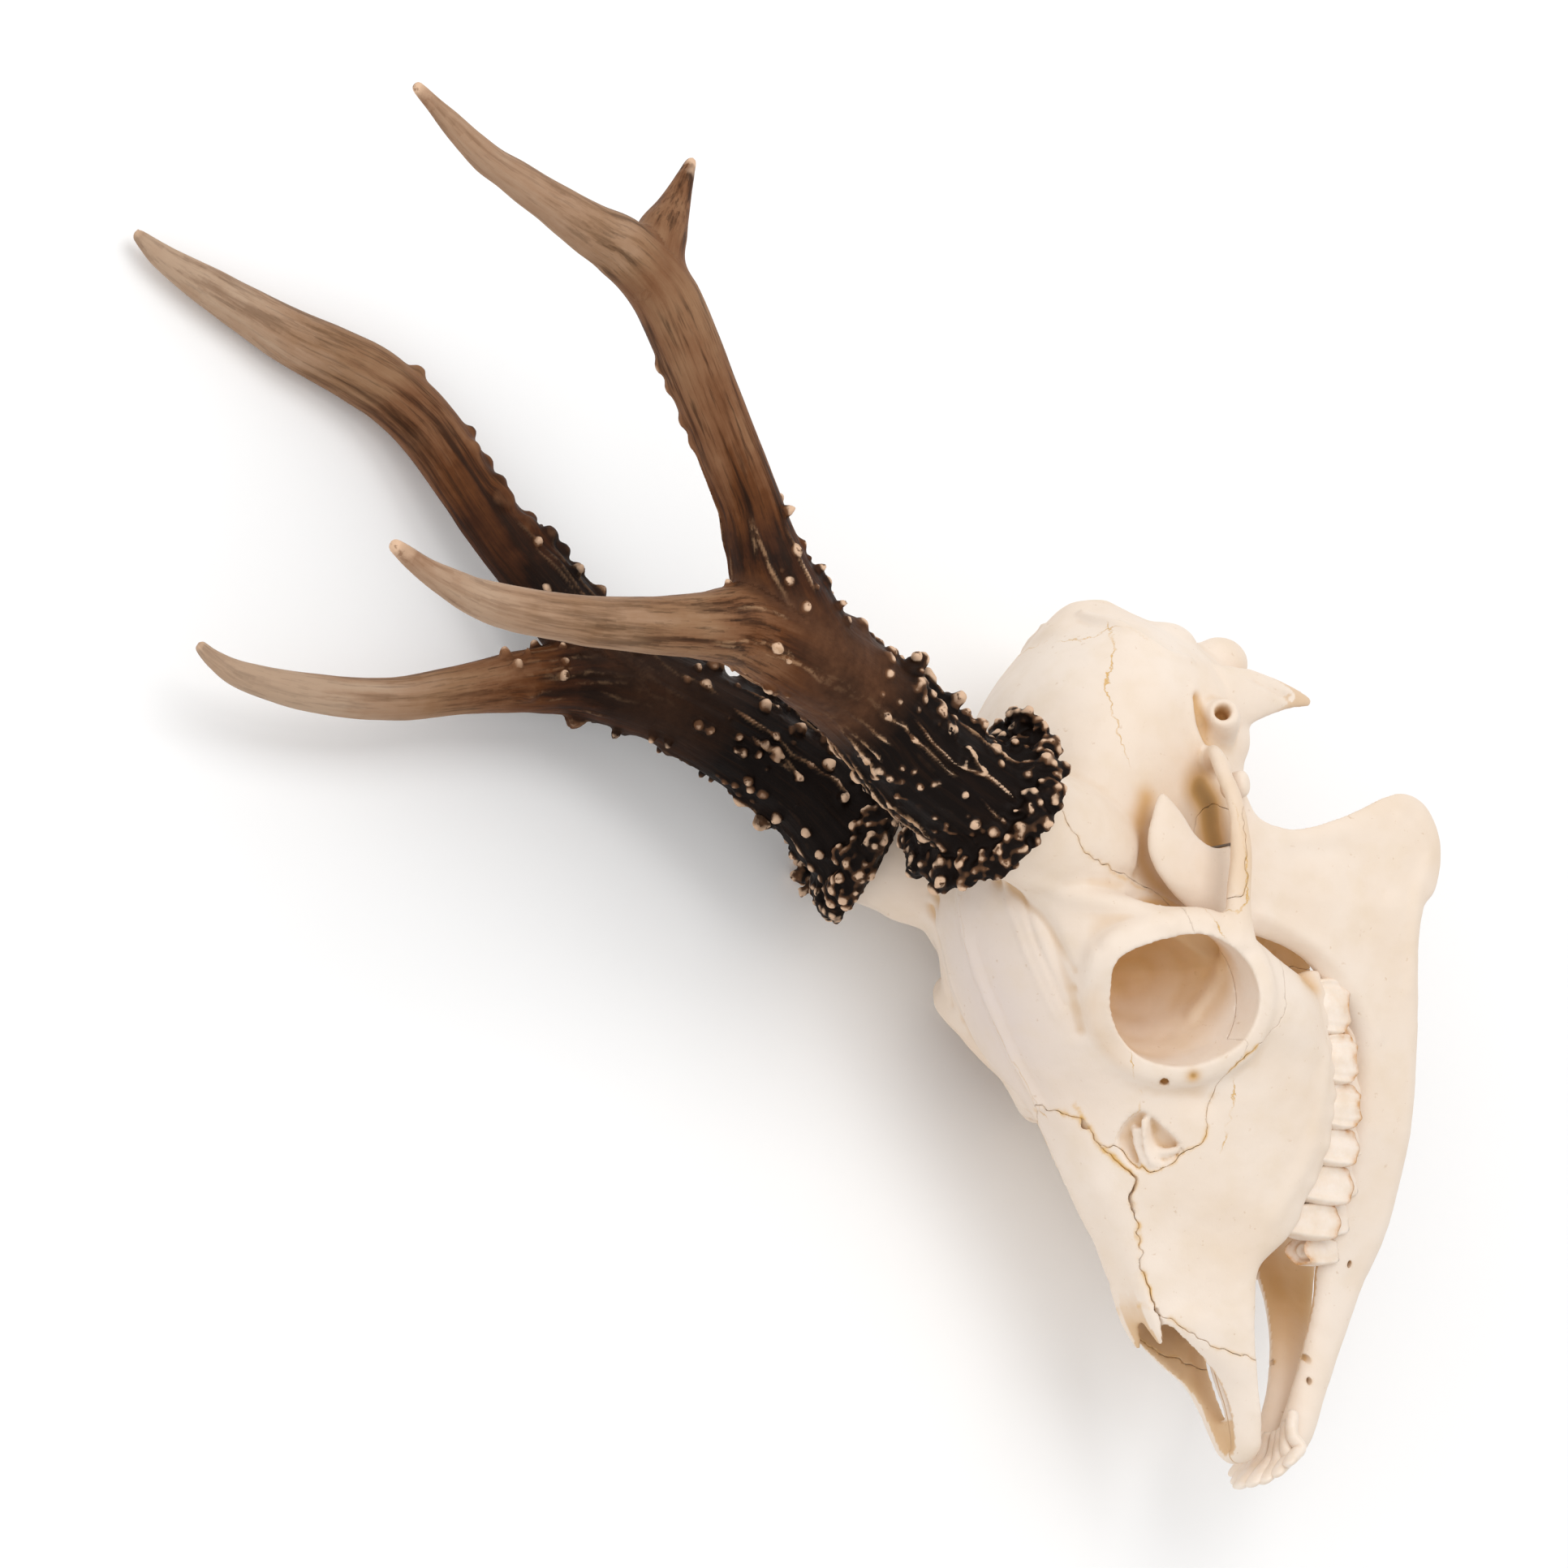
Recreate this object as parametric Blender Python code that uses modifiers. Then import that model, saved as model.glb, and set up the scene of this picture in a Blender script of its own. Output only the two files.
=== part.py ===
"""Roe deer skull with antlers and lower jaw, as a still, life-size museum model.

Every size is in millimetres and in the animal's own directions, with x to its right, y to its nose and
z to its crown. The zero point lies in the midline under the eye sockets, just over the palate.
The last step turns the skull on to its right side, as it lies on a table, and makes it metres.
Left and right are the animal's own.
"""
import math

import bmesh
import bpy
import numpy as np
from mathutils import Matrix, Vector

# Driving dimensions
GAP = 0.3                      # clearance between neighbouring pieces
LEFT, RIGHT = -1, 1

ORBIT_CENTRE = (34.5, -0.5, 45.5)      # middle of the eye socket's rim
ORBIT_INWARD = (-0.90, -0.38, -0.16)   # from there to the socket's bottom
ORBIT_DEPTH = 25.0

PEDICLE_FOOT = (21.0, -39.5, 68.0)
PEDICLE_TOP = (24.3, -42.0, 88.5)
PEDICLE_RADIUS = 12.5
BURR_WAY = (0.28, -0.45, 0.85)         # square to the antler's foot
BURR_RADIUS = 19.5

UPPER_TEETH = (12.8, 11.6, 10.3, 8.5, 8.8, 8.0)      # lengths, last molar first
LOWER_TEETH = (14.5, 11.2, 10.2, 9.4, 8.6, 6.6)
UPPER_ROW_BACK, LOWER_ROW_BACK = -10.0, -8.0
CHEW_HEIGHT, CHEW_X, CHEW_SLOPE = -11.0, 30.0, -0.45  # the slanted plane where the cheek teeth meet

SKULL_GRAIN, ANTLER_GRAIN = 1.0, 1.1   # finest shape that is kept
CRUMB = 15                     # a body with fewer points is waste from a cut
SKULL_TRIANGLES, JAW_TRIANGLES, ANTLER_TRIANGLES = 3200, 680, 1050

# How the skull lies, on its right cheek and the tip of its right antler: turned about x, y and z, then
# moved so that the floor is at height 0 and the zero point is under the middle of the whole
REST_TURN = (6.48, 84.70, -171.91)     # degrees
REST_SHIFT = (117.52, -32.37, 42.54)

BONE = ("cleaned bone", (0.83, 0.76, 0.66), 0.55)
ANTLER = ("dark antler", (0.09, 0.05, 0.03), 0.6)


# ---------------------------------------------------------------- tools

def vec(point, side=RIGHT):
    """A point of the right half, or its mirror image on the left."""
    return Vector((point[0] * side, point[1], point[2]))


def smooth_rows(rows, steps, closed=False):
    """Rows of numbers on a smooth curve through the given rows."""
    p = np.array(rows, float)
    if closed:
        p = np.vstack([p[-1:], p, p[:2]])
    else:
        p = np.vstack([2 * p[:1] - p[1:2], p, 2 * p[-1:] - p[-2:-1]])
    out = []
    for a, b, c, d in zip(p, p[1:], p[2:], p[3:]):
        for t in np.arange(steps) / steps:
            out.append(b + 0.5 * t * ((c - a) + t * (2 * a - 5 * b + 4 * c - d + t * (3 * b - a - 3 * c + d))))
    if not closed:
        out.append(p[-2])
    return np.array(out)


def add_loft(shape, rings):
    """A closed skin over a row of like rings of points."""
    loops = [[shape.verts.new(point) for point in ring] for ring in rings]
    count = len(loops[0])
    for near, far in zip(loops, loops[1:]):
        for i in range(count):
            j = (i + 1) % count
            shape.faces.new((near[i], near[j], far[j], far[i]))
    shape.faces.new(loops[0][::-1])
    shape.faces.new(loops[-1])


def frame_along(direction, across=(1, 0, 0)):
    """A turn whose z runs along the direction, with x near the given one."""
    z = Vector(direction).normalized()
    x = Vector(across)
    x = (x - z * x.dot(z)).normalized()
    return Matrix((x, z.cross(x), z)).transposed()


def add_bar(shape, rows, across=(1, 0, 0), sides=16, steps=4):
    """A bar through rows of x, y, z and its two half widths, the first one along 'across'."""
    rows = smooth_rows(rows, steps)
    rings = []
    for i, row in enumerate(rows):
        ahead, behind = rows[min(i + 1, len(rows) - 1)], rows[max(i - 1, 0)]
        turn = frame_along(ahead[:3] - behind[:3], across)
        ring = []
        for k in range(sides):
            angle = 2 * math.pi * k / sides
            ring.append(Vector(row[:3]) + turn @ Vector((row[3] * math.cos(angle), row[4] * math.sin(angle), 0)))
        rings.append(ring)
    add_loft(shape, rings)


def add_ball(shape, centre, radii, turn=None):
    """An egg-shaped lump."""
    place = Matrix.Translation(centre) @ (turn or Matrix()).to_4x4() @ Matrix.Diagonal((*radii, 1))
    bmesh.ops.create_uvsphere(shape, u_segments=20, v_segments=12, radius=1, matrix=place)


def add_horn(shape, rows, side):
    """A round tapering horn through rows of x, y, z and radius."""
    curve = bpy.data.curves.new("horn", "CURVE")
    curve.dimensions, curve.bevel_depth, curve.bevel_resolution, curve.use_fill_caps = "3D", 1, 4, True
    rows = smooth_rows(rows, 5)
    spline = curve.splines.new("POLY")
    spline.points.add(len(rows) - 1)
    for point, row in zip(spline.points, rows):
        point.co = (*vec(row[:3], side), 1)
        point.radius = row[3]
    guide = bpy.data.objects.new("horn", curve)
    bpy.context.scene.collection.objects.link(guide)
    mesh = bpy.data.meshes.new_from_object(guide.evaluated_get(bpy.context.evaluated_depsgraph_get()))
    shape.from_mesh(mesh)
    bpy.data.objects.remove(guide)
    bpy.data.meshes.remove(mesh)


def add_prism(shape, outline, axis, low, high):
    """A flat outline drawn out along one axis (0, 1 or 2); its two numbers are the other two axes, in order."""
    rings = []
    for depth in (low, high):
        rings.append([Vector(np.insert(np.array(point, float), axis, depth)) for point in outline])
    add_loft(shape, rings)


def make_object(name, shape):
    """An object from a shape, with its faces pointing out."""
    bmesh.ops.remove_doubles(shape, verts=shape.verts, dist=1e-4)
    bmesh.ops.recalc_face_normals(shape, faces=shape.faces)
    mesh = bpy.data.meshes.new(name)
    shape.to_mesh(mesh)
    shape.free()
    obj = bpy.data.objects.new(name, mesh)
    bpy.context.scene.collection.objects.link(obj)
    return obj


def apply_modifiers(obj):
    """Puts the object's modifiers into its mesh."""
    bpy.context.view_layer.update()
    mesh = bpy.data.meshes.new_from_object(obj.evaluated_get(bpy.context.evaluated_depsgraph_get()))
    obj.modifiers.clear()
    obj.data = mesh


def melt(obj, grain, smoothing):
    """Makes one skin round all of the object's lumps, and rounds its creases."""
    remesh = obj.modifiers.new("skin", "REMESH")
    remesh.mode, remesh.voxel_size = "VOXEL", grain
    soften = obj.modifiers.new("soften", "SMOOTH")
    soften.factor, soften.iterations = 0.5, smoothing
    apply_modifiers(obj)


def cut(obj, cutter, operation="DIFFERENCE", keep_cutter=False):
    """Cuts the object with another one."""
    tool = obj.modifiers.new("cut", "BOOLEAN")
    tool.operation, tool.solver, tool.object = operation, "EXACT", cutter
    apply_modifiers(obj)
    if not keep_cutter:
        bpy.data.objects.remove(cutter)


def thin_out(obj, triangles):
    """Leaves about so many triangles."""
    sides = sum(len(face.vertices) - 2 for face in obj.data.polygons)
    fewer = obj.modifiers.new("fewer", "DECIMATE")
    fewer.ratio, fewer.use_collapse_triangulate = min(1.0, triangles / sides), True
    apply_modifiers(obj)


def slab(centre, normal, across, thickness=GAP):
    """A thin square slab that parts what it crosses."""
    shape = bmesh.new()
    place = Matrix.Translation(centre) @ frame_along(normal, (1, 0.01, 0)).to_4x4()
    bmesh.ops.create_cube(shape, size=1, matrix=place @ Matrix.Diagonal((across, across, thickness, 1)))
    return make_object("slab", shape)


def ribbon(line, axis=0, reach=70.0):
    """A thin wall that stands on an open line, drawn out both ways along the axis."""
    points = [Vector(point) for point in line]
    near, far = [], []
    for i, point in enumerate(points):
        along = (points[min(i + 1, len(points) - 1)] - points[max(i - 1, 0)]).normalized()
        out = Vector((-along.y, along.x)) * GAP / 2
        near.append(point + out)
        far.append(point - out)
    shape = bmesh.new()
    add_prism(shape, near + far[::-1], axis, -reach, reach)
    return make_object("ribbon", shape)


def islands(obj):
    """The object's separate bodies, as lists of face indices with their points."""
    shape = bmesh.new()
    shape.from_mesh(obj.data)
    seen, groups = set(), []
    for start in shape.verts:
        if start.index in seen:
            continue
        seen.add(start.index)
        queue, found = [start], []
        while queue:
            vert = queue.pop()
            found.append(vert.index)
            for edge in vert.link_edges:
                other = edge.other_vert(vert)
                if other.index not in seen:
                    seen.add(other.index)
                    queue.append(other)
        groups.append(set(found))
    shape.free()
    return groups


def part_from(obj, anchors):
    """Names the body nearest to each anchor point; crumbs are dropped."""
    groups = [group for group in islands(obj) if len(group) > CRUMB]
    points = np.array([v.co for v in obj.data.vertices])
    parts = {}
    for name, anchor in anchors.items():
        reach = [np.linalg.norm(points[list(g)] - np.array(anchor), axis=1).min() for g in groups]
        group = groups[int(np.argmin(reach))]
        shape = bmesh.new()
        shape.from_mesh(obj.data)
        bmesh.ops.delete(shape, geom=[v for v in shape.verts if v.index not in group], context="VERTS")
        parts[name] = make_object(name, shape)
    bpy.data.objects.remove(obj)
    return parts


# ---------------------------------------------------------------- skull

# Cross sections from the back of the head to the nose: y, height of the midline, then x, z of the edge of
# the roof, of the widest place and of the edge of the floor, and the height of the floor's midline
SECTIONS = (
    (-103.5, 37.5, 7, 36.5, 9, 34, 6, 31, 30),
    (-100.5, 44.5, 12.5, 40, 15.5, 33, 9, 24, 21),
    (-92.5, 54.5, 17.5, 49, 24, 36, 14, 13, 9),
    (-80, 64, 20, 57.5, 28.5, 39, 20, 11, 5),
    (-65, 71.5, 21, 64.5, 29, 43, 19, 14, 8),
    (-50, 76.5, 22, 70, 27, 47, 19, 17, 12),
    (-37, 80, 22, 74.5, 26.5, 58, 17, 20, 15),
    (-27, 81, 22, 75, 28, 61, 13, 21, 15),
    (-19, 79.5, 27, 67.5, 42, 36, 15, 19, 14),
    (-9, 76, 33, 61, 43, 29.5, 27, 1, 8),
    (3, 70.5, 25, 59.5, 42.2, 27, 29, -2.5, 5),
    (12, 65.5, 15, 58.5, 35, 30, 29, -4.5, 4),
    (20, 60, 9.5, 55.5, 30.5, 30, 28, -5, 4),
    (29, 54.5, 9, 51, 26.5, 30, 26.5, -4, 4),
    (40, 48.5, 8.5, 45.5, 22.5, 27, 23.5, -0.5, 5),
    (50, 42.5, 8.5, 39.5, 19, 22, 20, 3, 7),
    (57, 39.5, 8, 37, 17, 20, 15.5, 9.5, 11),
    (66, 35.5, 7.3, 33.3, 15, 18, 14.8, 10.5, 12),
    (71, 33.5, 6.5, 31.5, 14, 17, 14.5, 10.5, 11.5),
    (78, 23, 6, 22, 12.2, 14.5, 13.5, 9.3, 10),
    (85, 14.5, 4.8, 14, 10.4, 10.5, 12, 7.7, 8),
    (93, 11, 4.6, 10.5, 9, 7.8, 9.5, 5.3, 5.5),
    (98.5, 9.2, 4.4, 8.7, 7.2, 6.2, 6.5, 3.6, 3.5),
    (101.5, 7.5, 2.5, 7.2, 3.6, 6, 3, 4.5, 4.5),
)
ORBIT_RIM = (                  # x, y, z round the right eye socket's edge, from the brow forwards
    (34, -8.7, 61.8), (28.8, -2, 60.4), (25.4, 3, 57.9), (23.4, 8.3, 52.8), (26, 12.8, 47.4), (32, 14.3, 40.2),
    (38.8, 9.8, 31.6), (42.7, 0.8, 28.6), (42.9, -8.8, 31.7), (41.5, -14.6, 41), (39, -13.4, 51.7))
CROWN_SEAM = ((-66, 110), (-58, 74), (-44, 69), (-36, 62), (-34, 40), (-36, -20))   # y, z from the side
FACE_SEAM = ((20, 80), (21.5, 60), (28, 52), (35, 45), (32, 36), (21, 30), (6, 20), (-14, 14), (-16, -20))
NASAL_SEAM = ((15, 57), (24, 54), (34, 48.3), (46, 42.3), (56, 36.8), (66, 30.5), (82, 25.5))
INCISIVE_SEAM = ((60, 50), (66, 36), (76, 20), (84, -10))
CHEEK_OUTLINE = ((-37.5, 10), (-37.5, 41), (-27, 46), (-19, 47), (-8, 43), (10, 30), (24, 33), (28, 24), (8, 8))
NOSE_CAVITY = (                # y, top, bottom, half width
    (50, 33, 18, 6), (60, 31, 14.5, 8), (68, 31, 13.5, 9), (73, 38, 13, 9), (80, 34, 12, 7.4),
    (88, 26, 9.5, 6), (95, 20, 8.0, 4.5), (99, 18, 7.6, 2.5))
NASAL_TIPS = ((3.2, 58, 35.5, 3.4, 2.2), (3.2, 66, 32.7, 3.3, 1.9), (3.4, 71, 30.9, 2.9, 1.6), (3.8, 75, 29.2, 1.9, 1.0))


def section_ring(row, steps=6):
    """A smooth closed ring from one row of SECTIONS."""
    y, crest, roof_x, roof_z, side_x, side_z, floor_x, floor_z, keel = row
    half = [(roof_x, roof_z), (side_x, side_z), (floor_x, floor_z)]
    around = [(0, crest)] + half + [(0, keel)] + [(-x, z) for x, z in half[::-1]]
    return [Vector((x, y, z)) for x, z in smooth_rows(around, steps, closed=True)]


def chew_z(x):
    """Height at which upper and lower teeth meet."""
    return CHEW_HEIGHT + CHEW_SLOPE * (abs(x) - CHEW_X)


def chew_side(side, jaw):
    """A block over (jaw 1) or under (jaw -1) the slanted plane of one side's cheek teeth."""
    near, far, thick = 9.0, 38.0, 14.0
    gap = -jaw * GAP * 0.6
    outline = [(x * side, chew_z(x) + gap + lift) for x, lift in ((near, 0), (far, 0), (far, jaw * thick),
                                                                 (near, jaw * thick))]
    shape = bmesh.new()
    add_prism(shape, outline, 1, UPPER_ROW_BACK - 1.2, 58.0)
    return make_object("chewing block", shape)


def add_cheek_teeth(shape, lengths, back, row_x, gum, jaw):
    """A row of rounded two-lobed teeth on both sides; jaw is 1 for the upper and -1 for the lower one."""
    y = back
    for i, length in enumerate(lengths):
        lobes = 2 if i < 3 else 1
        for lobe in range(lobes):
            middle = y + length * (lobe + 0.5) / lobes
            x, half = row_x(middle), (5.2 - 0.35 * i) * (1 if jaw > 0 else 0.72)
            root, tip = gum(middle) + 4 * jaw, chew_z(x) - 2.6 * jaw
            for side in (LEFT, RIGHT):
                rows = [(x * side, middle, root + (tip - root) * part, half, 0.46 * length / lobes * wide)
                        for part, wide in ((0, 0.85), (0.35, 0.95), (0.7, 1.0), (1, 1.0))]
                add_bar(shape, rows, steps=2, sides=12)
        y += length


def upper_row_x(y):
    """Middle of the upper tooth row, which bends in towards the nose."""
    return 26.6 - 0.0042 * (y - 6) ** 2


def upper_gum(y):
    """Height of the upper jaw's edge at the teeth, lowest at the middle molar."""
    return -5.2 + 0.0085 * (y - 19) ** 2


def lower_row_x(y):
    """Middle of the lower tooth row, inside the upper one."""
    return 22.6 - 0.0037 * (y - 4) ** 2


def lower_gum(y):
    """Height of the lower jaw's edge at the teeth."""
    return -14.2 + 0.0024 * (y - 14) ** 2


def skull_lumps():
    """All the raised shapes of the skull, still overlapping."""
    shape = bmesh.new()
    add_loft(shape, [section_ring(row) for row in smooth_rows(SECTIONS, 4)])
    for side in (LEFT, RIGHT):
        foot, top = vec(PEDICLE_FOOT, side), vec(PEDICLE_TOP, side)
        above = top + vec(BURR_WAY, side) * 8
        add_bar(shape, [(*foot, 15, 17), (*top, PEDICLE_RADIUS, PEDICLE_RADIUS), (*above, PEDICLE_RADIUS, PEDICLE_RADIUS)])
        rim = smooth_rows(ORBIT_RIM, 3, closed=True)
        rim = np.vstack([rim, rim[:1]])
        centre = Vector(ORBIT_CENTRE)
        ring = [(*vec(centre + (Vector(spot) - centre) * 1.05, side), 1.9, 1.9) for spot in rim]
        add_bar(shape, ring, across=(side, 0, 0), sides=10, steps=1)
        arch = ((42.9, -12, 32, 2.2, 4.0), (42.8, -22, 33, 2.1, 3.6), (43.1, -35, 31.5, 2.0, 3.1),
                (40.8, -46, 31.3, 2.0, 2.8), (37.2, -56, 32.9, 3.0, 2.4), (32, -65, 32, 4.5, 4.0), (25, -70, 32, 5, 6))
        add_bar(shape, [(x * side, *rest) for x, *rest in arch])
        socket = ((27, -55, 34.5, 6, 2.6), (36, -55, 34, 5.5, 2.4))
        add_bar(shape, [(x * side, *rest) for x, *rest in socket], across=(0, 1, 0))
        spike = ((21, -79.5, 16, 3.6, 8), (21, -80.4, 6, 2.6, 6), (20.6, -80.3, -2, 1.7, 3.6), (20.2, -79.7, -10.5, 0.9, 1.3))
        add_bar(shape, [(x * side, *rest) for x, *rest in spike])
        add_ball(shape, vec((10, -93.5, 11), side), (6, 6.5, 8))
        add_ball(shape, vec((17.5, -69, 15), side), (6, 9, 7.5))
        add_bar(shape, [(x * side, *rest) for x, *rest in NASAL_TIPS], across=(1, 0, 0), steps=3)
        ear = ((24, -71, 22, 5, 5), (31.5, -72, 26, 3.6, 3.6), (33.6, -72.3, 27.2, 3.4, 3.4))
        add_bar(shape, [(x * side, *rest) for x, *rest in ear], across=(0, 1, 0))
        add_bar(shape, [(9 * side, -12, 14, 1.6, 5), (9.5 * side, -24, 12, 1.5, 6), (10 * side, -34, 10, 1.3, 6),
                        (10.5 * side, -40, 10, 1.1, 3)])
    add_bar(shape, [(0, -103.5, 38, 9, 2.4), (0, -100, 46, 14, 2.8), (0, -92.5, 54.5, 16, 3.4)], steps=3)
    add_cheek_teeth(shape, UPPER_TEETH, UPPER_ROW_BACK, upper_row_x, upper_gum, 1)
    return make_object("skull", shape)


def skull_hollows():
    """What is cut from the skull: eye sockets, temples, ear holes, nose, spinal hole and gaps in the palate."""
    shape = bmesh.new()
    rim = [Vector(spot) for spot in smooth_rows(ORBIT_RIM, 3, closed=True)]
    centre, inward = Vector(ORBIT_CENTRE), Vector(ORBIT_INWARD)
    for side in (LEFT, RIGHT):
        eye = []
        for share, width in ((-0.35, 1.02), (0, 1.0), (0.3, 0.96), (0.6, 0.82), (0.85, 0.58), (1.0, 0.25)):
            eye.append([vec(centre + (spot - centre) * width + inward * ORBIT_DEPTH * share, side) for spot in rim])
        add_loft(shape, eye)
        temple = ((30.5, -8, 43, 3.5, 9), (31, -19, 41, 5.8, 13.5), (33, -29, 41, 7.4, 16),
                  (34.4, -41, 40, 6.4, 14), (33.6, -50, 38, 4.4, 9))
        add_bar(shape, [(x * side, *rest) for x, *rest in temple], across=(1, 0, 0), sides=24)
        under = ((37, -18, 18.5, 9, 11.5), (36.5, -34, 16, 9.5, 13.5), (35, -50, 17, 8, 12))
        add_bar(shape, [(x * side, *rest) for x, *rest in under], across=(1, 0, 0))
        add_bar(shape, [(27 * side, -71.4, 24, 1.7, 1.7), (40 * side, -72.8, 30, 1.9, 1.9)], across=(0, 1, 0), steps=2)
        add_bar(shape, [(3.6 * side, 73, 14, 1.5, 9), (3.4 * side, 83, 10, 1.6, 9), (2.6 * side, 91, 8, 0.9, 9)])
    nose = []
    for y, top, bottom, half in smooth_rows(NOSE_CAVITY, 3):
        ring = []
        for k in range(20):
            angle = 2 * math.pi * k / 20
            ring.append(Vector((half * math.copysign(abs(math.cos(angle)) ** 0.8, math.cos(angle)), y,
                                (top + bottom) / 2 + (top - bottom) / 2 * math.sin(angle))))
        nose.append(ring)
    add_loft(shape, nose)
    add_bar(shape, [(0, -108, 14, 6.5, 6.5), (0, -97, 15, 6.5, 6), (0, -90, 17, 5, 5)])
    add_bar(shape, [(0, -8, 10, 6.5, 5), (0, -22, 13, 6.5, 6), (0, -42, 9, 6, 5)], steps=3)
    add_bar(shape, [(0, -14, -6, 15, 8), (0, 10, -8.5, 16, 9.5), (0, 30, -8, 13, 9.5), (0, 50, -3.5, 8.5, 8)], steps=3)
    hollows = make_object("hollows", shape)
    melt(hollows, SKULL_GRAIN, 1)
    return hollows


def antler_plane(side):
    """Where the antler sits on its pedicle: the point and the way the antler grows."""
    return vec(PEDICLE_TOP, side), vec(BURR_WAY, side).normalized()


def build_skull():
    """Models the skull whole, then parts it along its seams."""
    skull = skull_lumps()
    melt(skull, SKULL_GRAIN, 3)
    cut(skull, skull_hollows())
    melt(skull, SKULL_GRAIN, 1)
    thin_out(skull, SKULL_TRIANGLES)
    for side in (LEFT, RIGHT):
        cut(skull, chew_side(side, -1))
        top, grow = antler_plane(side)
        cut(skull, slab(top + grow * 15, grow, 60, 30))

    cut(skull, ribbon(CROWN_SEAM))
    cut(skull, ribbon(FACE_SEAM))
    parts = part_from(skull, {"braincase": (0, -75, 67), "frontal": (0, -25, 82), "snout": (0, 40, 49)})

    frontal = parts["frontal"]
    for side in (LEFT, RIGHT):
        shape = bmesh.new()
        add_prism(shape, CHEEK_OUTLINE, 0, *sorted((34.5 * side, 60 * side)))
        block = make_object("cheek", shape)
        name = "cheek_bone_left" if side == LEFT else "cheek_bone_right"
        bone = frontal.copy()
        bone.data = frontal.data.copy()
        bpy.context.scene.collection.objects.link(bone)
        cut(bone, block, "INTERSECT", keep_cutter=True)
        parts.update(part_from(bone, {name: (43.5 * side, -20, 31)}))
        middle = Vector((47 * side, -5, 27))
        block.data.transform(Matrix.Translation(middle) @ Matrix.Diagonal((1.024, 1.012, 1.02, 1))
                             @ Matrix.Translation(-middle))
        cut(frontal, block)
    parts.update(part_from(parts.pop("frontal"), {"frontal_bones": (0, -25, 82)}))

    snout = parts.pop("snout")
    cut(snout, ribbon(NASAL_SEAM))
    halves = part_from(snout, {"nasal_bones": (0, 50, 43), "jaws": (24, 10, 6)})
    parts["nasal_bones"] = halves["nasal_bones"]
    jaws = halves["jaws"]
    cut(jaws, slab((0, 40, 20), (1, 0, 0), 200))
    cut(jaws, ribbon(INCISIVE_SEAM))
    parts.update(part_from(jaws, {
        "upper_jaw_left": (-22, 30, 8), "upper_jaw_right": (22, 30, 8),
        "incisive_bone_left": (-9, 93, 8), "incisive_bone_right": (9, 93, 8)}))
    return parts


# ---------------------------------------------------------------- lower jaw

JAW_OUTLINE = (                # y, z from the chin round over the teeth, the jaw joint and the angle
    (101, -6), (100, -1.5), (92, -2.2), (82, -4.3), (72, -6.6), (63, -7.6), (57, -7.8), (50, -11), (38, -13.2),
    (20, -14.4), (4, -14.2), (-7, -12), (-12, -5), (-16.5, 0), (-19.4, 8), (-20, 18), (-20.5, 28), (-23, 38),
    (-28, 46), (-35, 50.6), (-42, 50.2), (-49.3, 47), (-45, 41.5), (-40, 37), (-37.8, 31), (-40, 25), (-45, 23.5),
    (-49.5, 26), (-53.5, 26.5), (-52, 22.5), (-47, 19.5), (-44.8, 14), (-44.8, 5), (-49, -8), (-55, -21),
    (-56.5, -27), (-54.5, -32.5), (-49, -36.2), (-41, -37.2), (-33.5, -35.5), (-28.5, -31.4), (-18, -31), (3, -33.6),
    (24, -33), (45, -29.3), (62, -22.3), (80, -16), (96, -10.6))
JAW_MIDDLE = (                 # y, x of the jaw's middle, half thickness above and below
    (-64, 33.4, 1.7, 1.9), (-45, 33.6, 1.7, 2.1), (-28, 32.4, 2.0, 2.3), (-12, 28, 3.2, 2.8), (4, 24.2, 4.6, 3.6),
    (24, 21.2, 4.6, 3.8), (45, 16.2, 4.0, 3.6), (58, 13.2, 3.3, 3.2), (72, 10.0, 3.2, 3.0), (84, 7.2, 3.4, 3.0),
    (94, 5.0, 4.0, 3.6), (102, 4.2, 4.2, 3.6))


def jaw_middle(y, z):
    """The jaw plate's own middle and half thickness at a place seen from the side."""
    ys, xs, upper, lower = np.array(JAW_MIDDLE).T
    share = min(max((z + 34) / 26, 0), 1)
    half = np.interp(y, ys, upper) * share + np.interp(y, ys, lower) * (1 - share)
    return np.interp(y, ys, xs), half


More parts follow.
